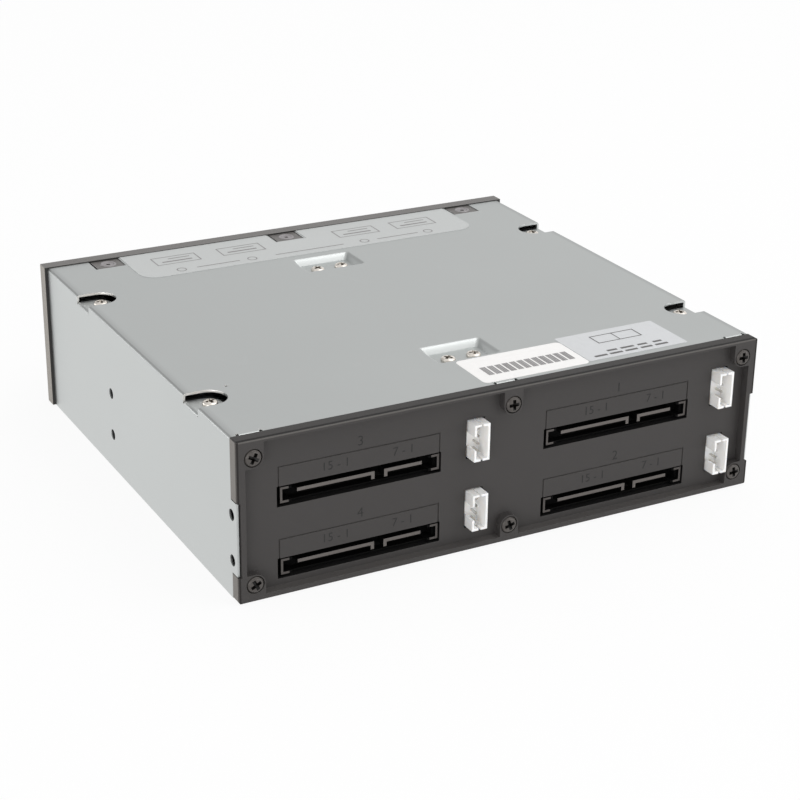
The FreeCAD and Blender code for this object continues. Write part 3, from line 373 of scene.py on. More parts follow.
def board_finish(name):
    """Green solder resist over faint copper tracks."""
    material, tree, shader, coords = new_finish(name)
    skin = skin_of(tree, moulded_grain, coords, (0.012, 0.075, 0.03), (0.02, 0.12, 0.05), 0.32,
                   {"Grain scale": 1200.0})
    grid = node(tree, "ShaderNodeTexBrick", {
        "Vector": coords, "Scale": 420.0, "Mortar Size": 0.08, "Color1": (0, 0, 0, 1),
        "Color2": (0.15, 0.15, 0.15, 1), "Mortar": (1, 1, 1, 1)}).outputs["Fac"]
    colour = blend_colour(tree, times(tree, grid, 0.25), skin["Color"], (0.04, 0.2, 0.08, 1))
    fill(tree, shader.inputs, {"Base Color": colour, "Roughness": skin["Roughness"]})
    bump(tree, shader, grid, 0.01 * MM, 0.3)
    return material


# Painted shade and highlights on marked faces (the bezel's front in its own dark tone), and painted
# lines across them: mark, axis, from, to, tone

# Panel: painted shade deep in the windows and on the corners, a painted highlight on the flanks,
# painted light on the sill against its shade.
PANEL_TONES = (("deep", (0.003, 0.0028, 0.0028)), ("flank", (0.19, 0.178, 0.165)),
               ("sill", (0.08, 0.075, 0.072)), ("corner", (0.012, 0.01, 0.009)))
PANEL_LINES = (
    # Panel lines: painted shade along the crest where a groove's shade lies, a painted highlight
    # along the top of the rim, painted shade at the rim's ends and at the rear of the flanks.
    ("crest", "Y", panel_end.y - 1.0 * MM, panel_end.y - 0.08 * MM, (0.006, 0.005, 0.0045)),
    ("rim", "Z", panel_end.z - 0.4 * MM, panel_end.z, (0.1, 0.094, 0.088)),
    ("rim", "X", panel_end.x - 0.5 * MM, panel_end.x, (0.014, 0.012, 0.011)),
    ("rim", "X", -panel_end.x, 0.5 * MM - panel_end.x, (0.014, 0.012, 0.011)),
    ("flank", "Y", panel_end.y - 0.8 * MM, panel_end.y, (0.05, 0.044, 0.039)),
)
# Bezel: painted shade on the rear edge, painted sheen on the flanks and tab rings, the front in the
# plastic's own dark tone.
BEZEL_TONES = (("back", (0.008, 0.007, 0.006)), ("flank", (0.25, 0.228, 0.2)),
               ("face", (0.036, 0.034, 0.0335)), ("ring", (0.27, 0.255, 0.26)))
# Plugs: painted highlights on the ends of the tongues and of the shroud.
PLUG_TONES = (("tip", (0.14, 0.128, 0.121)), ("end", (0.095, 0.087, 0.083)))

finishes = {
    "zinc_steel": sheet_finish(
        "Zinc-plated cover", (0.535, 0.553, 0.547), (0.565, 0.583, 0.577), 0.43,
        fold=(cover_end.x, cover_end.z), shade=0.19),
    "inner_steel": sheet_finish(
        "Zinc-plated inner sheet", (0.42, 0.43, 0.43), (0.48, 0.49, 0.49), 0.4),
    "spring_steel": sheet_finish("Spring strip", (0.4, 0.4, 0.41), (0.46, 0.46, 0.47), 0.3),
    # The recess tones below are painted shade in the driver recess.
    "nickel": plated_finish(
        "Nickel screw", (0.8, 0.745, 0.68), (0.92, 0.87, 0.805), 0.3, recess=(0.26, 0.235, 0.205)),
    "pin_tin": plated_finish("Tinned pin", (0.62, 0.6, 0.565), (0.72, 0.7, 0.665), 0.28, 0.85),
    "black_screw": plated_finish(
        "Black oxide screw", (0.055, 0.049, 0.045), (0.08, 0.072, 0.066), 0.4, 0.3,
        (0.004, 0.0035, 0.003)),
    "contact_gold": plated_finish("Gilt contact", (0.75, 0.55, 0.22), (0.86, 0.66, 0.3), 0.25),
    "panel_black": moulding_finish(
        "Black rear panel", (0.0425, 0.0395, 0.0385), (0.052, 0.0485, 0.047),
        (0.09, 0.083, 0.078), 0.6, marked=PANEL_TONES, gloss=0.3, lines=PANEL_LINES),
    # The bezel's base and lift are lighter than its black plastic: painted sheen on its top and
    # edges; its front gets its own darker tone.
    "bezel_black": moulding_finish(
        "Black bezel", (0.12, 0.112, 0.107), (0.15, 0.141, 0.135), (0.19, 0.18, 0.172), 0.42,
        marked=BEZEL_TONES, gloss=0.6),
    "tray_black": moulding_finish(
        "Black tray front", (0.026, 0.025, 0.025), (0.038, 0.037, 0.037), (0.07, 0.067, 0.065)),
    "lever_black": moulding_finish(
        "Black lever", (0.022, 0.022, 0.0225), (0.034, 0.034, 0.035), (0.07, 0.07, 0.07), 0.42),
    "button_grey": moulding_finish(
        "Grey button", (0.16, 0.16, 0.17), (0.2, 0.2, 0.21), (0.3, 0.3, 0.31), 0.4),
    "connector_black": moulding_finish(
        "Connector moulding", (0.002, 0.002, 0.0021), (0.0035, 0.0034, 0.0034),
        (0.012, 0.0115, 0.011), 0.7, 3400.0, 0.01, PLUG_TONES, 0.06),
    "header_white": moulding_finish(
        "White header nylon", (0.9, 0.885, 0.865), (0.95, 0.94, 0.925), (0.96, 0.955, 0.945),
        0.4, 1800.0, 0.01, glow=0.6),
    "board_green": board_finish("Green board"),
    "light_clear": clear_finish("Clear light guide"),
    "label_white": film_finish("White label", (0.9, 0.885, 0.87), (0.95, 0.94, 0.93), 0.42, 0.15),
    "label_silver": film_finish(
        "Silver label", (0.6, 0.612, 0.625), (0.66, 0.672, 0.685), 0.4, 0.2),
    "label_film": film_finish(
        "Frosted guide film", (0.475, 0.49, 0.485), (0.535, 0.55, 0.545), 0.4, 0.3),
    "print_grey": film_finish(
        "Grey label print", (0.1, 0.097, 0.097), (0.14, 0.135, 0.135), 0.5, 0.0),
    "print_pale": film_finish(
        "Pale label print", (0.37, 0.365, 0.365), (0.42, 0.415, 0.415), 0.5, 0.0),
    "print_faint": film_finish(
        "Faint guide print", (0.2, 0.19, 0.19), (0.26, 0.25, 0.25), 0.45, 0.2),
    "print_white": film_finish("White sign print", (0.62, 0.62, 0.61), (0.7, 0.7, 0.69), 0.5, 0.0),
    # Near black: painted shade standing for the shade in the moulded strokes of the panel's signs.
    "engraved_black": moulding_finish(
        "Sign in painted shade", (0.007, 0.0065, 0.0065), (0.011, 0.0105, 0.01),
        (0.014, 0.013, 0.013), 0.6),
}


# Pieces

MERGE = 1e-6                        # points closer than this, in metres, are one
FLAT_ANGLE = math.radians(0.5)      # faces that differ less become one
SHARP_ANGLE = math.radians(38)      # edges that turn more are rounded over
SMOOTH_ANGLE = math.radians(35)     # turned forms look smooth across less


def keep(piece, body, slot, *stands_for):
    """Lets a finished piece ride on its body, and hides the solids that it stands for."""
    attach(piece, body)
    if stands_for:
        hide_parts(*stands_for)
    return piece


def to_mesh(name, form):
    """A mesh from an editable form, which is then let go."""
    mesh = bpy.data.meshes.new(name)
    form.to_mesh(mesh)
    form.free()
    return mesh


def to_object(name, data):
    made = bpy.data.objects.new(name, data)
    SCENE.collection.objects.link(made)
    return made


def new_piece(name, mesh, material):
    mesh.materials.clear()
    mesh.materials.append(material)
    return to_object(name, mesh)


def plain_mesh(thing):
    """What modifiers or text make of an object, as plain mesh."""
    bpy.context.view_layer.update()
    evaluated = thing.evaluated_get(bpy.context.evaluated_depsgraph_get())
    return bpy.data.meshes.new_from_object(evaluated)


def settled(piece):
    """The piece with its modifiers turned into plain mesh."""
    mesh = plain_mesh(piece)
    piece.modifiers.clear()
    piece.data = mesh
    return piece


def mark_faces(mesh, label, chosen):
    """Writes a mask on a mesh: 1 on the chosen faces, 0 on the rest."""
    mask = mesh.attributes.new(label, "FLOAT", "FACE")
    mask.data.foreach_set("value", [float(chosen(face)) for face in mesh.polygons])


def one_finish(mesh, finish):
    """Leaves a mesh with one finish on all its faces."""
    mesh.materials.clear()
    mesh.materials.append(finish)
    mesh.polygons.foreach_set("material_index", [0] * len(mesh.polygons))


def soft_edged(name, width, reshape=None):
    """A copy of a solid whose sharp edges are rounded over, with the rounded faces marked."""
    source = nodes[name]
    slot = slot_of[name]
    finish = finishes[slot]
    form = bmesh.new()
    form.from_mesh(source.data)
    bmesh.ops.remove_doubles(form, verts=form.verts, dist=MERGE)
    bmesh.ops.dissolve_limit(form, angle_limit=FLAT_ANGLE, verts=form.verts, edges=form.edges)
    if reshape:
        reshape(form)
    mesh = to_mesh(name + ".shown", form)
    piece = new_piece(name + ".shown", mesh, finish)
    mesh.materials.append(finish)
    rounding = piece.modifiers.new("Rounded edge", "BEVEL")
    rounding.width = width
    rounding.segments = 2
    rounding.limit_method = "ANGLE"
    rounding.angle_limit = SHARP_ANGLE
    rounding.material = 1
    rounding.use_clamp_overlap = True
    flat = piece.modifiers.new("Flat faces", "WEIGHTED_NORMAL")
    flat.keep_sharp = True
    for face in mesh.polygons:
        face.use_smooth = True
    mesh = settled(piece).data
    mark_faces(mesh, "edge", lambda face: face.material_index == 1)
    one_finish(mesh, finish)
    return keep(piece, source["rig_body"], slot, name)


def paint(name, finish):
    """Gives a solid that stays as it is a finish of its own."""
    solid = nodes[name].data
    solid.materials.clear()
    solid.materials.append(finish)


def joined_pieces(name, parts):
    """Several meshes as one piece, with the first one's finish."""
    form = bmesh.new()
    for part in parts:
        form.from_mesh(part.data)
    finish = parts[0].data.materials[0]
    for part in parts:
        bpy.data.objects.remove(part)
    return new_piece(name, to_mesh(name, form), finish)


def solid_boxes(name):
    """The box round each separate solid of a node, in a fixed order."""
    form = bmesh.new()
    form.from_mesh(nodes[name].data)
    bmesh.ops.remove_doubles(form, verts=form.verts, dist=MERGE)
    left = set(form.verts)
    boxes = []
    while left:
        island = set()
        reached = [next(iter(left))]
        while reached:
            vert = reached.pop()
            if vert in island:
                continue
            island.add(vert)
            reached += [edge.other_vert(vert) for edge in vert.link_edges]
        left -= island
        boxes.append(tuple(Vector(end(vert.co[i] for vert in island) for i in range(3))
                           for end in (min, max)))
    form.free()
    return sorted(boxes, key=lambda box: tuple(box[0]))


# Rows and sets, repeated by Geometry Nodes

GEOMETRY, WHOLE, MATERIAL = "NodeSocketGeometry", "NodeSocketInt", "NodeSocketMaterial"


def place_forms(tree, given, result, points, form, change):
    """Ends a tree: a form on each point, made real and given its finish."""
    placed = node(tree, "GeometryNodeInstanceOnPoints",
                  {"Points": points, "Instance": form, **change}).outputs["Instances"]
    real = node(tree, "GeometryNodeRealizeInstances", {"Geometry": placed}).outputs["Geometry"]
    dressed = node(tree, "GeometryNodeSetMaterial",
                   {"Geometry": real, "Material": given["Finish"]})
    fill(tree, result, {"Geometry": dressed.outputs["Geometry"]})


def build_screw_set_tree():
    """Puts a screw on each point, turned by chance about its own axis."""
    tree, given, result = new_group(
        "Screw set",
        [("Geometry", GEOMETRY), ("Screw", "NodeSocketObject"), ("Axis", VECTOR),
         ("Seed", WHOLE), ("Finish", MATERIAL)], [("Geometry", GEOMETRY)], "GeometryNodeTree")
    form = node(tree, "GeometryNodeObjectInfo", {"Object": given["Screw"]},
                transform_space="ORIGINAL").outputs["Geometry"]
    angle = node(tree, "FunctionNodeRandomValue",
                 {2: 0.0, 3: 2 * math.pi, "Seed": given["Seed"]}, data_type="FLOAT").outputs[1]
    turn = node(tree, "ShaderNodeVectorMath", {0: given["Axis"], "Scale": angle},
                operation="SCALE").outputs["Vector"]
    place_forms(tree, given, result, given["Geometry"], form, {"Rotation": turn})
    return tree


def build_block_row_tree():
    """A row of small blocks whose widths vary by chance: bars of print, contacts."""
    tree, given, result = new_group(
        "Block row",
        [("Geometry", GEOMETRY), ("Count", WHOLE), ("Step", VECTOR), ("Size", VECTOR),
         ("Narrowest", FLOAT), ("Seed", WHOLE), ("Finish", MATERIAL)],
        [("Geometry", GEOMETRY)], "GeometryNodeTree")
    row = node(tree, "GeometryNodeMeshLine",
               {"Count": given["Count"], "Offset": given["Step"]}, mode="OFFSET").outputs["Mesh"]
    block = node(tree, "GeometryNodeMeshCube", {"Size": given["Size"]}).outputs["Mesh"]
    width = node(tree, "FunctionNodeRandomValue",
                 {2: given["Narrowest"], 3: 1.0, "Seed": given["Seed"]},
                 data_type="FLOAT").outputs[1]
    scale = node(tree, "ShaderNodeCombineXYZ", {"X": width, "Y": 1.0, "Z": 1.0})
    place_forms(tree, given, result, row, block, {"Scale": scale.outputs["Vector"]})
    return tree


screw_set_tree = build_screw_set_tree()
block_row_tree = build_block_row_tree()


def run_tree(name, mesh, tree, values):
    """A piece made by a node tree from a starting mesh, with the tree's inputs filled in."""
    piece = to_object(name, mesh)
    maker = piece.modifiers.new(tree.name, "NODES")
    maker.node_group = tree
    for socket in tree.interface.items_tree:
        if socket.in_out == "INPUT" and socket.name in values:
            maker[socket.identifier] = values[socket.name]
    one_finish(settled(piece).data, values["Finish"])
    return piece


def block_row(name, count, step, size, start, finish, narrowest=1.0, seed=0):
    row = run_tree(name, bpy.data.meshes.new(name), block_row_tree,
                   {"Count": count, "Step": step, "Size": size, "Narrowest": narrowest,
                    "Seed": seed, "Finish": finish})
    row.data.transform(Matrix.Translation(start))
    return row


# Cross-recessed screws

SHANK_RADIUS = 1.25 * MM
THREAD_TOP = -0.3 * MM
THREAD_PITCH = 0.45 * MM
THREAD_ROOT, POINT = 0.86, 0.7    # as shares of the shank's radius
TURN_STEPS = 36
# Outline of a pan head, as shares of its radius and height
CROWN = ((0, 1.0), (0.5, 0.985), (0.76, 0.91), (0.9, 0.76), (0.975, 0.52), (1.0, 0.28),
         (0.975, 0.0))


def lathe(profile):
    """A closed turned form about Z from (radius, z) points that start and end on the axis."""
    form = bmesh.new()
    turns = [2 * math.pi * i / TURN_STEPS for i in range(TURN_STEPS)]
    rings = []
    for radius, z in profile:
        if radius == 0:
            rings.append([form.verts.new((0, 0, z))])
            continue
        rings.append([form.verts.new((radius * math.cos(a), radius * math.sin(a), z))
                      for a in turns])
    for lower, upper in zip(rings, rings[1:]):
        for i in range(TURN_STEPS):
            j = (i + 1) % TURN_STEPS
            corners = [lower[i % len(lower)], lower[j % len(lower)],
                       upper[j % len(upper)], upper[i % len(upper)]]
            form.faces.new(list(dict.fromkeys(corners)))
    bmesh.ops.recalc_face_normals(form, faces=form.faces)
    return form


def bridge(form, first, second):
    """Joins two rings of as many points with quads."""
    for i, vert in enumerate(first):
        j = (i + 1) % len(first)
        form.faces.new((vert, first[j], second[j], second[i]))


def cross_cutter(arm, width, top, depth):
    """A tapered cross that cuts a driver recess."""
    form = bmesh.new()
    rings = []
    for z, reach, half in ((top + 0.3 * MM, arm * 1.15, width * 0.56),
                           (top - depth, arm * 0.32, width * 0.3)):
        outline = [(reach, -half), (reach, half), (half, half), (half, reach),
                   (-half, reach), (-half, half), (-reach, half), (-reach, -half),
                   (-half, -half), (-half, -reach), (half, -reach), (half, -half)]
        rings.append([form.verts.new((x, y, z)) for x, y in outline])
    bridge(form, *rings)
    form.faces.new(rings[0])
    form.faces.new(list(reversed(rings[1])))
    bmesh.ops.recalc_face_normals(form, faces=form.faces)
    return form


def screw_form(name, head_radius, head_height, length, recess):
    """One pan-head screw along Z with its seat at z 0, and a cross recess in its head."""
    profile = [(r * head_radius, z * head_height) for r, z in CROWN]
    profile += [(SHANK_RADIUS, 0.0), (SHANK_RADIUS, THREAD_TOP)]
    for i in range(int((length + THREAD_TOP) / THREAD_PITCH)):
        z = THREAD_TOP - i * THREAD_PITCH
        profile += [(SHANK_RADIUS * THREAD_ROOT, z - THREAD_PITCH * 0.3),
                    (SHANK_RADIUS, z - THREAD_PITCH * 0.8)]
    profile += [(SHANK_RADIUS * POINT, -length), (0, -length)]
    screw = to_object(name, to_mesh(name, lathe(profile)))
    cutter_name = name + ".recess"
    cross = cross_cutter(recess, recess * 0.58, head_height, head_height * 0.85)
    cutter = to_object(cutter_name, to_mesh(cutter_name, cross))
    cut = screw.modifiers.new("Recess", "BOOLEAN")
    cut.operation = "DIFFERENCE"
    cut.solver = "EXACT"
    cut.object = cutter
    settled(screw)
    bpy.data.objects.remove(cutter)
    for face in screw.data.polygons:
        face.use_smooth = True
    screw.data.set_sharp_from_angle(angle=SMOOTH_ANGLE)
    mark_faces(screw.data, "recess", lambda face: face.center.xy.length < 0.78 * head_radius
               and 0.05 < face.center.z / head_height < 0.88)
    return screw


def screws(name, axis, head_height, recess, seed):
    """Screws with real heads for a node of plain ones, which point along Y or Z."""
    along = axis.index(1)
    boxes = solid_boxes(name)
    low, high = boxes[0]
    seat = high[along] - head_height
    screw = screw_form(name + ".form", (high.x - low.x) / 2, head_height, seat - low[along], recess)
    if axis == (0, 1, 0):
        screw.data.transform(Matrix.Rotation(math.radians(-90), 4, "X"))
    places = []
    for ends in boxes:
        place = [sum(pair) / 2 for pair in zip(*ends)]
        place[along] = seat
        places.append(place)
    points = bpy.data.meshes.new(name + ".shown")
    points.from_pydata(places, [], [])
    slot = slot_of[name]
    piece = run_tree(name + ".shown", points, screw_set_tree,
                     {"Screw": screw, "Axis": axis, "Seed": seed, "Finish": finishes[slot]})
    bpy.data.objects.remove(screw)
    keep(piece, "chassis", slot, name)


# Dressing of the solids

NEAR = 0.2 * MM    # how close to the end of a box a face counts as lying on it
SHOULDER_STEPS = (0.1, 0.2, 0.32, 0.45, 0.6, 0.75, 0.88, 1.0)


def dress_panel():
    """The rear panel, with painted shade marked in its windows and corners and along its crest,
    painted light marked on its flanks and lower wall, and its rim marked for a painted highlight
    and painted shade at its ends.
    """
    panel = soft_edged("rear_panel", 0.3 * MM).data
    inside = panel_end.y - 2.7 * MM
    mark_faces(panel, "deep", lambda face: face.normal.y < 0.5 and face.center.y < inside)
    mark_faces(panel, "crest", lambda face: face.normal.z > 0.9
               and face.center.z > panel_end.z - NEAR)
    mark_faces(panel, "rim", lambda face: face.normal.y > 0.9
               and face.center.y > panel_end.y - NEAR)
    mark_faces(panel, "flank", lambda face: abs(face.normal.x) > 0.9
               and abs(face.center.x) > panel_end.x - NEAR)
    mark_faces(panel, "sill", lambda face: face.normal.z > 0.9 and face.center.y > inside
               and panel_low.z + 0.5 * MM < face.center.z < panel_low.z + 3.0 * MM)
    mark_faces(panel, "corner", lambda face: 0.3 < abs(face.normal.x) < 0.9
               and face.normal.y > 0.3 and abs(face.center.x) > panel_end.x - 2 * NEAR)


def dress_bezel():
    """The front bezel, with painted shade on its rear edge, painted sheen on its flanks and the
    rings on its tabs, and its front marked for the plastic's own darker tone.
    """
    bezel = soft_edged("front_bezel", 0.15 * MM).data
    side, middle, margin = cad_high.x, cad_high.z / 2, 1.0 * MM
    back = max(v.co.y for v in bezel.vertices if abs(v.co.x) > side - 0.5 * MM) - 0.2 * MM
    crown = max(v.co.z for v in bezel.vertices if v.co.y > back + margin)
    mark_faces(bezel, "back", lambda face: face.normal.y > 0.6
               and abs(face.center.y - back) < 0.4 * MM)
    mark_faces(bezel, "flank", lambda face: abs(face.normal.x) > 0.9
               and abs(face.center.x) > side - 0.1 * MM)
    mark_faces(bezel, "face", lambda face: face.normal.y < -0.5 or abs(face.normal.y) < 0.5
               and abs(face.center.x) < side - margin
               and abs(face.center.z - middle) < middle - margin)
    mark_faces(bezel, "ring", lambda face: face.normal.z > 0.3 and face.center.y > back + margin
               and face.center.z > crown - 0.3 * MM and face.area < 8 * MM * MM)


def part_ends(form, tip, ends):
    """Parts the open ends of a plug's shroud from its arms, and notes where the parts begin."""
    reach = [vert.co.x for face in form.faces
             if face.normal.y > 0.6 and face.calc_center_median().y > tip for vert in face.verts]
    low, high = min(reach), max(reach)
    bracket, tongues = 2.2 * MM, 4.2 * MM
    ends += [low + bracket, low + tongues, high - tongues, high - bracket]
    for x in (ends[0], ends[3]):
        bmesh.ops.bisect_plane(form, geom=form.verts[:] + form.edges[:] + form.faces[:],
                               plane_co=(x, 0, 0), plane_no=(1, 0, 0))


def dress_plug(bay):
    """A feed-through connector, with painted highlights marked on the ends of its tongues and of
    its shroud.
    """
    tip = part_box(f"drive_connector_{bay}")[1].y - 0.5 * MM
    ends = []
    plug = soft_edged(f"drive_connector_{bay}", 0.06 * MM,
                      lambda form: part_ends(form, tip, ends)).data

    def foremost(face):
        return face.center.y > tip and face.normal.y > 0.6
    mark_faces(plug, "tip", lambda face: foremost(face) and ends[1] < face.center.x < ends[2])
    mark_faces(plug, "end", lambda face: foremost(face) and not ends[0] < face.center.x < ends[3])


def dress_mouldings():
    dress_panel()
    dress_bezel()
    for bay in BAYS:
        dress_plug(bay)
        for name, width in (("signal_header", 0.1), ("tray_front", 0.15), ("lever", 0.18),
                            ("release_button", 0.2)):
            soft_edged(f"{name}_{bay}", width * MM)


def soft_pockets(form):
    """Gives the drawn pockets of the cover soft shoulders down to their floors."""
    top = cover_end.z
    half_width, half_depth, touch = 12 * MM, 9 * MM, 0.01 * MM
    rows = {round((low.y + high.y) / 2, 5) for low, high in solid_boxes("pocket_screws")}
    for row in sorted(rows):
        def near(place):
            return abs(place.x) < half_width and abs(place.y - row) < half_depth
        old = [face for face in form.faces
               if face.normal.z > 0.05 and near(face.calc_center_median())
               and face.calc_center_median().z < top - 10 * touch
               and all(near(vert.co) for vert in face.verts)]
        floor = min(vert.co.z for face in old for vert in face.verts)
        inner = max(vert.co.x for face in old for vert in face.verts
                    if vert.co.z < floor + touch)
        bmesh.ops.delete(form, geom=old, context="FACES")
        rim = list(dict.fromkeys(
            vert for edge in form.edges if edge.is_boundary for vert in edge.verts
            if near(vert.co) and vert.co.z > top - touch))
        middle = sum((vert.co for vert in rim), Vector()) / len(rim)
        ring = sorted(rim, key=lambda vert: math.atan2(vert.co.y - middle.y, vert.co.x - middle.x))
        outline = [vert.co.copy() for vert in ring]
        run = max(place.x for place in outline) - inner
        for share in SHOULDER_STEPS:
            drop = (top - floor) * share * share * (3 - share) / 2
            lower = [form.verts.new((p.x - math.copysign(run * share, p.x - middle.x),
                                     p.y - math.copysign(run * share, p.y - middle.y),
                                     top - drop)) for p in outline]
            bridge(form, ring, lower)
            ring = lower
        form.faces.new(ring)


def dress_sheets():
    """The cover, with painted shade marked on its long folds and a painted highlight on the sheared
    edges of its ears on the +X side, and the pans.
    """
    cover = soft_edged("steel_cover", 0.08 * MM, soft_pockets).data
    side = max(vert.co.x for vert in cover.vertices) - 2.0 * MM
    ear_reach, ear_depth, largest_edge = 10 * MM, 4.5 * MM, 12 * MM * MM
    # Painted shade on the bends of the long folds.
    mark_faces(cover, "fold", lambda face: abs(face.center.x) > side
               and abs(face.normal.x) > 0.6 and face.normal.z > 0.2)
    # Painted highlight on the sheared edges of the ears, only on the +X side, where the light
    # falls.
    mark_faces(cover, "cut", lambda face: face.normal.y > 0.3 and abs(face.normal.z) < 0.5
               and face.center.x > side - ear_reach and face.center.y < cover_end.y - 3 * MM
               and face.center.z > cover_end.z - ear_depth and face.area < largest_edge)
    soft_edged("floor_pan", 0.06 * MM)
    for bay in BAYS:
        soft_edged(f"tray_pan_{bay}", 0.08 * MM)


def dress_rest():
    for name, solid in nodes.items():
        if not solid.hide_render:
            paint(name, finishes[slot_of[name]])
    paint("barcode_label", finishes["label_white"])
    paint("rating_label", finishes["label_silver"])
    paint("guide_label", finishes["label_film"])


def header_pins():
    """Square tinned pins with pointed tips, one row in each header."""
    form = bmesh.new()
    for a, b in solid_boxes("header_pins"):
        shrink = (b.x - a.x) * 0.22
        shoulder = b.y - 0.35 * MM
        rings = []
        for y, inset in ((a.y, 0.0), (shoulder, 0.0), (b.y, shrink)):
            rings.append([form.verts.new((x, y, z)) for x, z in (
                (a.x + inset, a.z + inset), (b.x - inset, a.z + inset),
                (b.x - inset, b.z - inset), (a.x + inset, b.z - inset))])
        for first, second in zip(rings, rings[1:]):
            bridge(form, first, second)
        form.faces.new(rings[0])
        form.faces.new(rings[-1])
    bmesh.ops.recalc_face_normals(form, faces=form.faces)
    name = "header_pins.shown"
    pins = new_piece(name, to_mesh(name, form), finishes["pin_tin"])
    keep(pins, "chassis", "pin_tin", "header_pins")


def plug_contacts():
    """Gilt contact strips under the tongues of each rear plug."""
    pitch = 1.27 * MM
    size = (0.6 * MM, 2.6 * MM, 0.06 * MM)
    for bay in BAYS:
        low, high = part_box(f"drive_connector_{bay}")
        x = (low.x + high.x) / 2
        y = high.y - 0.9 * MM - size[1] / 2
        z = (low.z + high.z) / 2 + 0.03 * MM
        rows = [block_row(name, count, (pitch, 0, 0), size, (x + start * MM, y, z),
                          finishes["contact_gold"])
                for name, count, start in (("power", 15, -2.5), ("data", 7, -16.0))]
        keep(joined_pieces(f"plug_contacts_{bay}", rows), "chassis", "pin_tin")


# Labels and signs

INK = 0.006 * MM    # thickness of a printed block


def ribbon(points, width, closed=False):
    """A flat line of even width through points (x, y), as quads."""
    form = bmesh.new()
    path = [Vector(p) for p in points]
    last = len(path) - 1
    sides = []
    for i, here in enumerate(path):
        ways = []
        if closed or i > 0:
            ways.append((here - path[i - 1]).normalized())
        if closed or i < last:
            ways.append((path[(i + 1) % len(path)] - here).normalized())
        along = sum(ways, Vector((0, 0))).normalized()
        across = Vector((-along.y, along.x))
        stretch = 1 / max(0.5, abs(across.dot(Vector((-ways[0].y, ways[0].x)))))
        sides.append([form.verts.new((*(here + across * s * width / 2 * stretch), 0))
                      for s in (1, -1)])
    pairs = list(zip(sides, sides[1:])) + ([(sides[-1], sides[0])] if closed else [])
    for (a, b), (c, d) in pairs:
        form.faces.new((a, b, d, c))
    return form


def drawn_lines(name, strokes, finish, z):
    """Printed strokes on a label: each is (points in mm, width in mm, closed)."""
    whole = bmesh.new()
    for points, width, closed in strokes:
        form = ribbon([(x * MM, y * MM) for x, y in points], width * MM, closed)
        part = to_mesh("stroke", form)
        whole.from_mesh(part)
        bpy.data.meshes.remove(part)
    for vert in whole.verts:
        vert.co.z = z
    bmesh.ops.recalc_face_normals(whole, faces=whole.faces)
    for face in whole.faces:
        if face.normal.z < 0:
            face.normal_flip()
    return new_piece(name, to_mesh(name, whole), finish)


def ring_points(x, y, radius, steps=20):
    turns = [2 * math.pi * i / steps for i in range(steps)]
    return [(x + radius * math.cos(a), y + radius * math.sin(a)) for a in turns]


def frame_points(x0, y0, x1, y1):
    return [(x0, y0), (x1, y0), (x1, y1), (x0, y1)]


def barcode_print(z):
    """A run of plain bars of chance widths: broad grey ones with fine darker ones on them."""
    low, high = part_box("barcode_label")
    middle = (low + high) / 2
    count, pitch, height = 12, 2.12, 5.1
    aside, ahead = 0.7, 1.2
    for name, shift, width, lift, ink, narrowest, seed in (
            ("broad", 0.0, 1.74, 0.0, "print_pale", 0.88, 11),
            ("fine_1", -0.55, 0.42, 0.01, "print_faint", 0.4, 4),
            ("fine_2", 0.05, 0.42, 0.01, "print_faint", 0.4, 5),
            ("fine_3", 0.52, 0.36, 0.01, "print_faint", 0.4, 6)):
        start = (middle.x + (shift - aside - pitch * (count - 1) / 2) * MM,
                 middle.y + ahead * MM, z + lift * MM)
        bars = block_row(f"barcode_{name}", count, (pitch * MM, 0, 0),
                         (width * MM, height * MM, INK), start, finishes[ink], narrowest, seed)
        keep(bars, "chassis", "label_film")


def rating_print(z):
    """Two lines of blank blocks and an empty ruled box in place of any wording."""
    low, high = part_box("rating_label")
    grey = finishes["print_grey"]
    step, block, narrowest = (4.6 * MM, 0, 0), (4.0 * MM, 0.9 * MM, INK), 0.55
    first = high.x - 23.0 * MM
    rows = [block_row(f"rating_row_{i}", count, step, block, (first, high.y - y * MM, z),
                      grey, narrowest, seed)
            for i, (count, y, seed) in enumerate(((5, 1.9, 3), (4, 3.9, 8)))]
    keep(joined_pieces("rating_print", rows), "chassis", "label_film")
    left, far = low.x / MM + 8.0, low.y / MM + 3.0
    width, depth = 13.0, 4.6
    strokes = [
        (frame_points(left, far, left + width, far + depth), 0.35, True),
        ([(left + width / 2, far), (left + width / 2, far + depth)], 0.3, False),
    ]
    keep(drawn_lines("rating_box", strokes, grey, z), "chassis", "label_film")


def guide_print(z):
    """Faint rules, rings and empty frames on the guide film."""
    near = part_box("guide_label")[1].y / MM - 3.2
    far = near - 8.8
    strokes = [([(start, near), (end, near)], 0.45, False)
               for start, end in ((-35.2, -21.7), (-10.7, 11.0), (22.1, 35.2))]
    strokes += [(ring_points(x, near, 1.3), 0.35, True) for x in (-38.6, -17.5, 18.3, 39.8)]
    for x in (-38.0, -19.0, 18.0, 38.0):
        strokes += [
            (frame_points(x - 6.5, far - 3.0, x + 6.5, far + 3.0), 0.35, True),
            ([(x - 4.5, far + 1.0), (x + 4.5, far + 1.0)], 0.8, False),
            ([(x - 4.5, far - 1.2), (x + 2.0, far - 1.2)], 0.5, False),
        ]
    keep(drawn_lines("guide_print", strokes, finishes["print_faint"], z), "chassis", "label_film")


def label_print():
    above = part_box("barcode_label")[1].z + 0.02 * MM
    barcode_print(above)
    rating_print(above)
    guide_print(above)


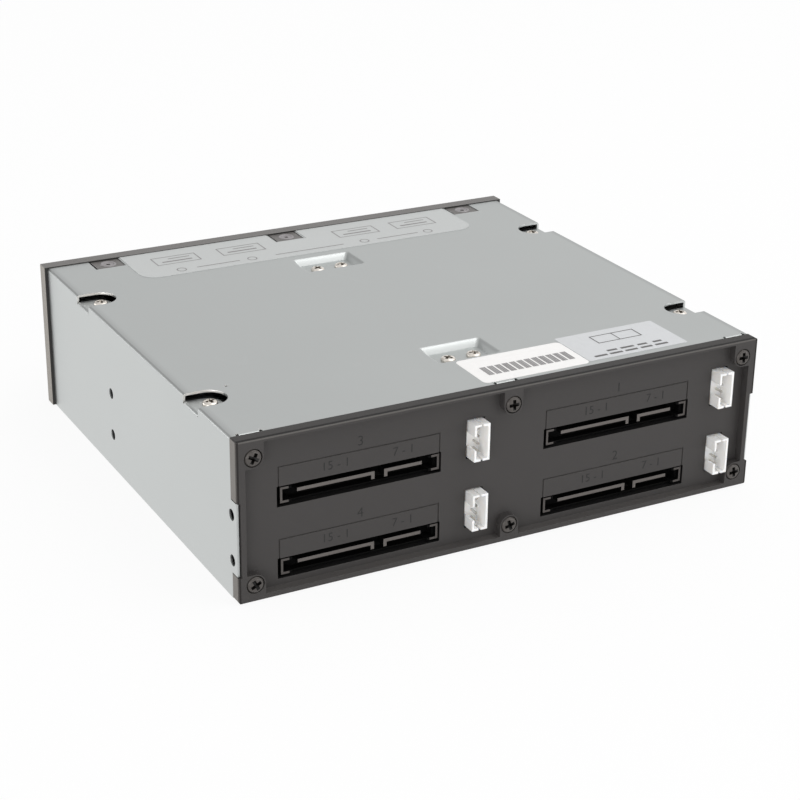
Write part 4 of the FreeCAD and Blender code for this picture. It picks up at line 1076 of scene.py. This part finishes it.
def sign(name, text, size, place, facing, finish, depth=0.05 * MM):
    """Raised numerals that face the rear (1) or the front (-1)."""
    curve = bpy.data.curves.new(name, "FONT")
    curve.body = text
    curve.size = size
    curve.align_x = "CENTER"
    curve.align_y = "CENTER"
    curve.extrude = depth
    curve.offset = -0.012 * size
    letters = to_object(name, curve)
    mesh = plain_mesh(letters)
    bpy.data.objects.remove(letters)
    turn = Matrix.Rotation(math.radians(90), 4, "X")
    if facing > 0:
        turn = Matrix.Rotation(math.radians(180), 4, "Z") @ turn
    mesh.transform(Matrix.Translation(place) @ turn)
    return new_piece(name, mesh, finish)


def panel_signs():
    """Bay numbers and contact counts beside each plug, near black as painted shade of their moulded
    strokes.
    """
    floor = panel_end.y - 2.4 * MM
    for bay in BAYS:
        low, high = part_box(f"drive_connector_{bay}")
        x = (low.x + high.x) / 2
        z = (low.z + high.z) / 2
        parts = [sign(name, text, size * MM, (x + across * MM, floor, z + above * MM), 1,
                      finishes["engraved_black"])
                 for name, text, size, across, above in (
                     ("bay", str(bay), 3.6, 0.0, 9.9), ("power", "15 - 1", 3.2, 6.5, 5.2),
                     ("data", "7 - 1", 3.2, -11.5, 5.2))]
        keep(joined_pieces(f"panel_sign_{bay}", parts), "chassis", "panel_black")


def tray_numbers():
    """The bay's number on each tray front, beside the button."""
    size, drop, inset, thickness = 2.2 * MM, 3.0 * MM, 0.2 * MM, 0.01 * MM
    for bay in BAYS:
        low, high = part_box(f"tray_front_{bay}")
        place = (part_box(f"release_button_{bay}")[1].x - inset, low.y - thickness, high.z - drop)
        mark = sign(f"tray_number_{bay}", str(bay), size, place, -1, finishes["print_white"],
                    thickness)
        keep(mark, f"tray_{bay}", "tray_black")


# Stage

def pale_floor():
    """A pale ground that looks white to the camera and in gloss, and is clear from beneath."""
    reach, drop = 6.0, -0.3 * MM
    mesh = bpy.data.meshes.new("floor")
    mesh.from_pydata([(-reach, -reach, drop), (reach, -reach, drop),
                      (reach, reach, drop), (-reach, reach, drop)], [], [(0, 1, 2, 3)])
    material, tree, shader, _ = new_finish("Pale floor")
    fill(tree, shader.inputs, {"Base Color": (0.92, 0.92, 0.92, 1), "Roughness": 0.85,
                               "Specular IOR Level": 0.1})
    white = node(tree, "ShaderNodeEmission", {"Color": (1, 1, 1, 1), "Strength": 1.0})
    rays = tree.nodes.new("ShaderNodeLightPath").outputs
    mirrored = maths(tree, "MAXIMUM", rays["Is Glossy Ray"], rays["Is Transmission Ray"])
    seen = maths(tree, "MAXIMUM", times(tree, rays["Is Camera Ray"], 0.9), mirrored)
    mixed = node(tree, "ShaderNodeMixShader",
                 {0: seen, 1: shader.outputs["BSDF"], 2: white.outputs["Emission"]})
    clear = tree.nodes.new("ShaderNodeBsdfTransparent")
    beneath = tree.nodes.new("ShaderNodeNewGeometry").outputs["Backfacing"]
    whole = node(tree, "ShaderNodeMixShader",
                 {0: beneath, 1: mixed.outputs["Shader"], 2: clear.outputs["BSDF"]})
    tree.links.new(whole.outputs["Shader"], tree.nodes["Material Output"].inputs["Surface"])
    floor = new_piece("floor", mesh, material)


def white_tent():
    """A white surround, dimmer overhead, with a duller patch that the cover's folds mirror."""
    world = bpy.data.worlds.new("White tent")
    SCENE.world = world
    world.use_nodes = True
    tree = world.node_tree
    tree.nodes.clear()
    rays = tree.nodes.new("ShaderNodeLightPath").outputs
    way = tree.nodes.new("ShaderNodeTexCoord").outputs["Generated"]
    rise = node(tree, "ShaderNodeSeparateXYZ", {"Vector": way}).outputs["Z"]
    overhead, gap_way, gap_depth = 0.76, (0.4, -0.81, 0.43), 0.31
    tent = remap(tree, rise, 0.05, 0.45, 1.0, overhead)
    towards_gap = node(tree, "ShaderNodeVectorMath", {0: way, 1: gap_way},
                       operation="DOT_PRODUCT").outputs["Value"]
    gap = remap(tree, towards_gap, 0.8, 0.93, 0.0, gap_depth)
    shown = maths(tree, "MAXIMUM", rays["Is Camera Ray"], rays["Is Transmission Ray"])
    strength = maths(tree, "MAXIMUM", maths(tree, "SUBTRACT", tent, gap), shown)
    sky = node(tree, "ShaderNodeBackground", {"Color": (1, 1, 1, 1), "Strength": strength})
    output = tree.nodes.new("ShaderNodeOutputWorld")
    tree.links.new(sky.outputs["Background"], output.inputs["Surface"])


def softbox(name, place, size, power):
    """A rectangular lamp, in metres and watts, turned to the middle of the rack."""
    target = Vector((0, 0, 0.02))
    light = bpy.data.lights.new(name, "AREA")
    light.shape = "RECTANGLE"
    light.size, light.size_y = size
    light.energy = power
    lamp = to_object(name, light)
    lamp.location = place
    lamp.rotation_euler = (target - Vector(place)).to_track_quat("-Z", "Y").to_euler()


def lights():
    softbox("key", (-0.55, 0.28, 1.05), (0.95, 0.95), 4.5)
    softbox("rear", (-0.75, 0.95, 0.25), (1.0, 0.5), 2.3)
    softbox("side", (1.05, -0.9, 0.2), (0.6, 0.4), 2.2)
    softbox("flank", (0.8, 0.7, 0.1), (0.6, 0.4), 2.6)


def camera():
    """The photograph's viewing angle: from the rear left, a little above."""
    place = Vector((0.228021, 0.432323, 0.222365))
    forward = Vector((-0.43594, -0.80847, -0.39540))
    up = Vector((-0.17576, -0.35440, 0.91843))
    right = forward.cross(up)
    lens = bpy.data.cameras.new("view")
    lens.sensor_width = 36.0
    lens.lens = 87.05
    lens.clip_start = 0.01
    lens.clip_end = 30.0
    eye = to_object("view", lens)
    turn = Matrix((right, up, -forward)).transposed()
    eye.matrix_world = Matrix.Translation(place) @ turn.to_4x4()
    SCENE.camera = eye


SCENE.view_settings.view_transform = "Standard"
camera()
pale_floor()
white_tent()
lights()
dress_mouldings()
dress_sheets()
header_pins()
screws("cover_screws", (0, 0, 1), 0.9 * MM, 1.35 * MM, 2)
screws("pocket_screws", (0, 0, 1), 0.9 * MM, 1.35 * MM, 7)
screws("rear_screws", (0, 1, 0), 1.3 * MM, 1.5 * MM, 5)
dress_rest()
plug_contacts()
label_print()
panel_signs()
tray_numbers()
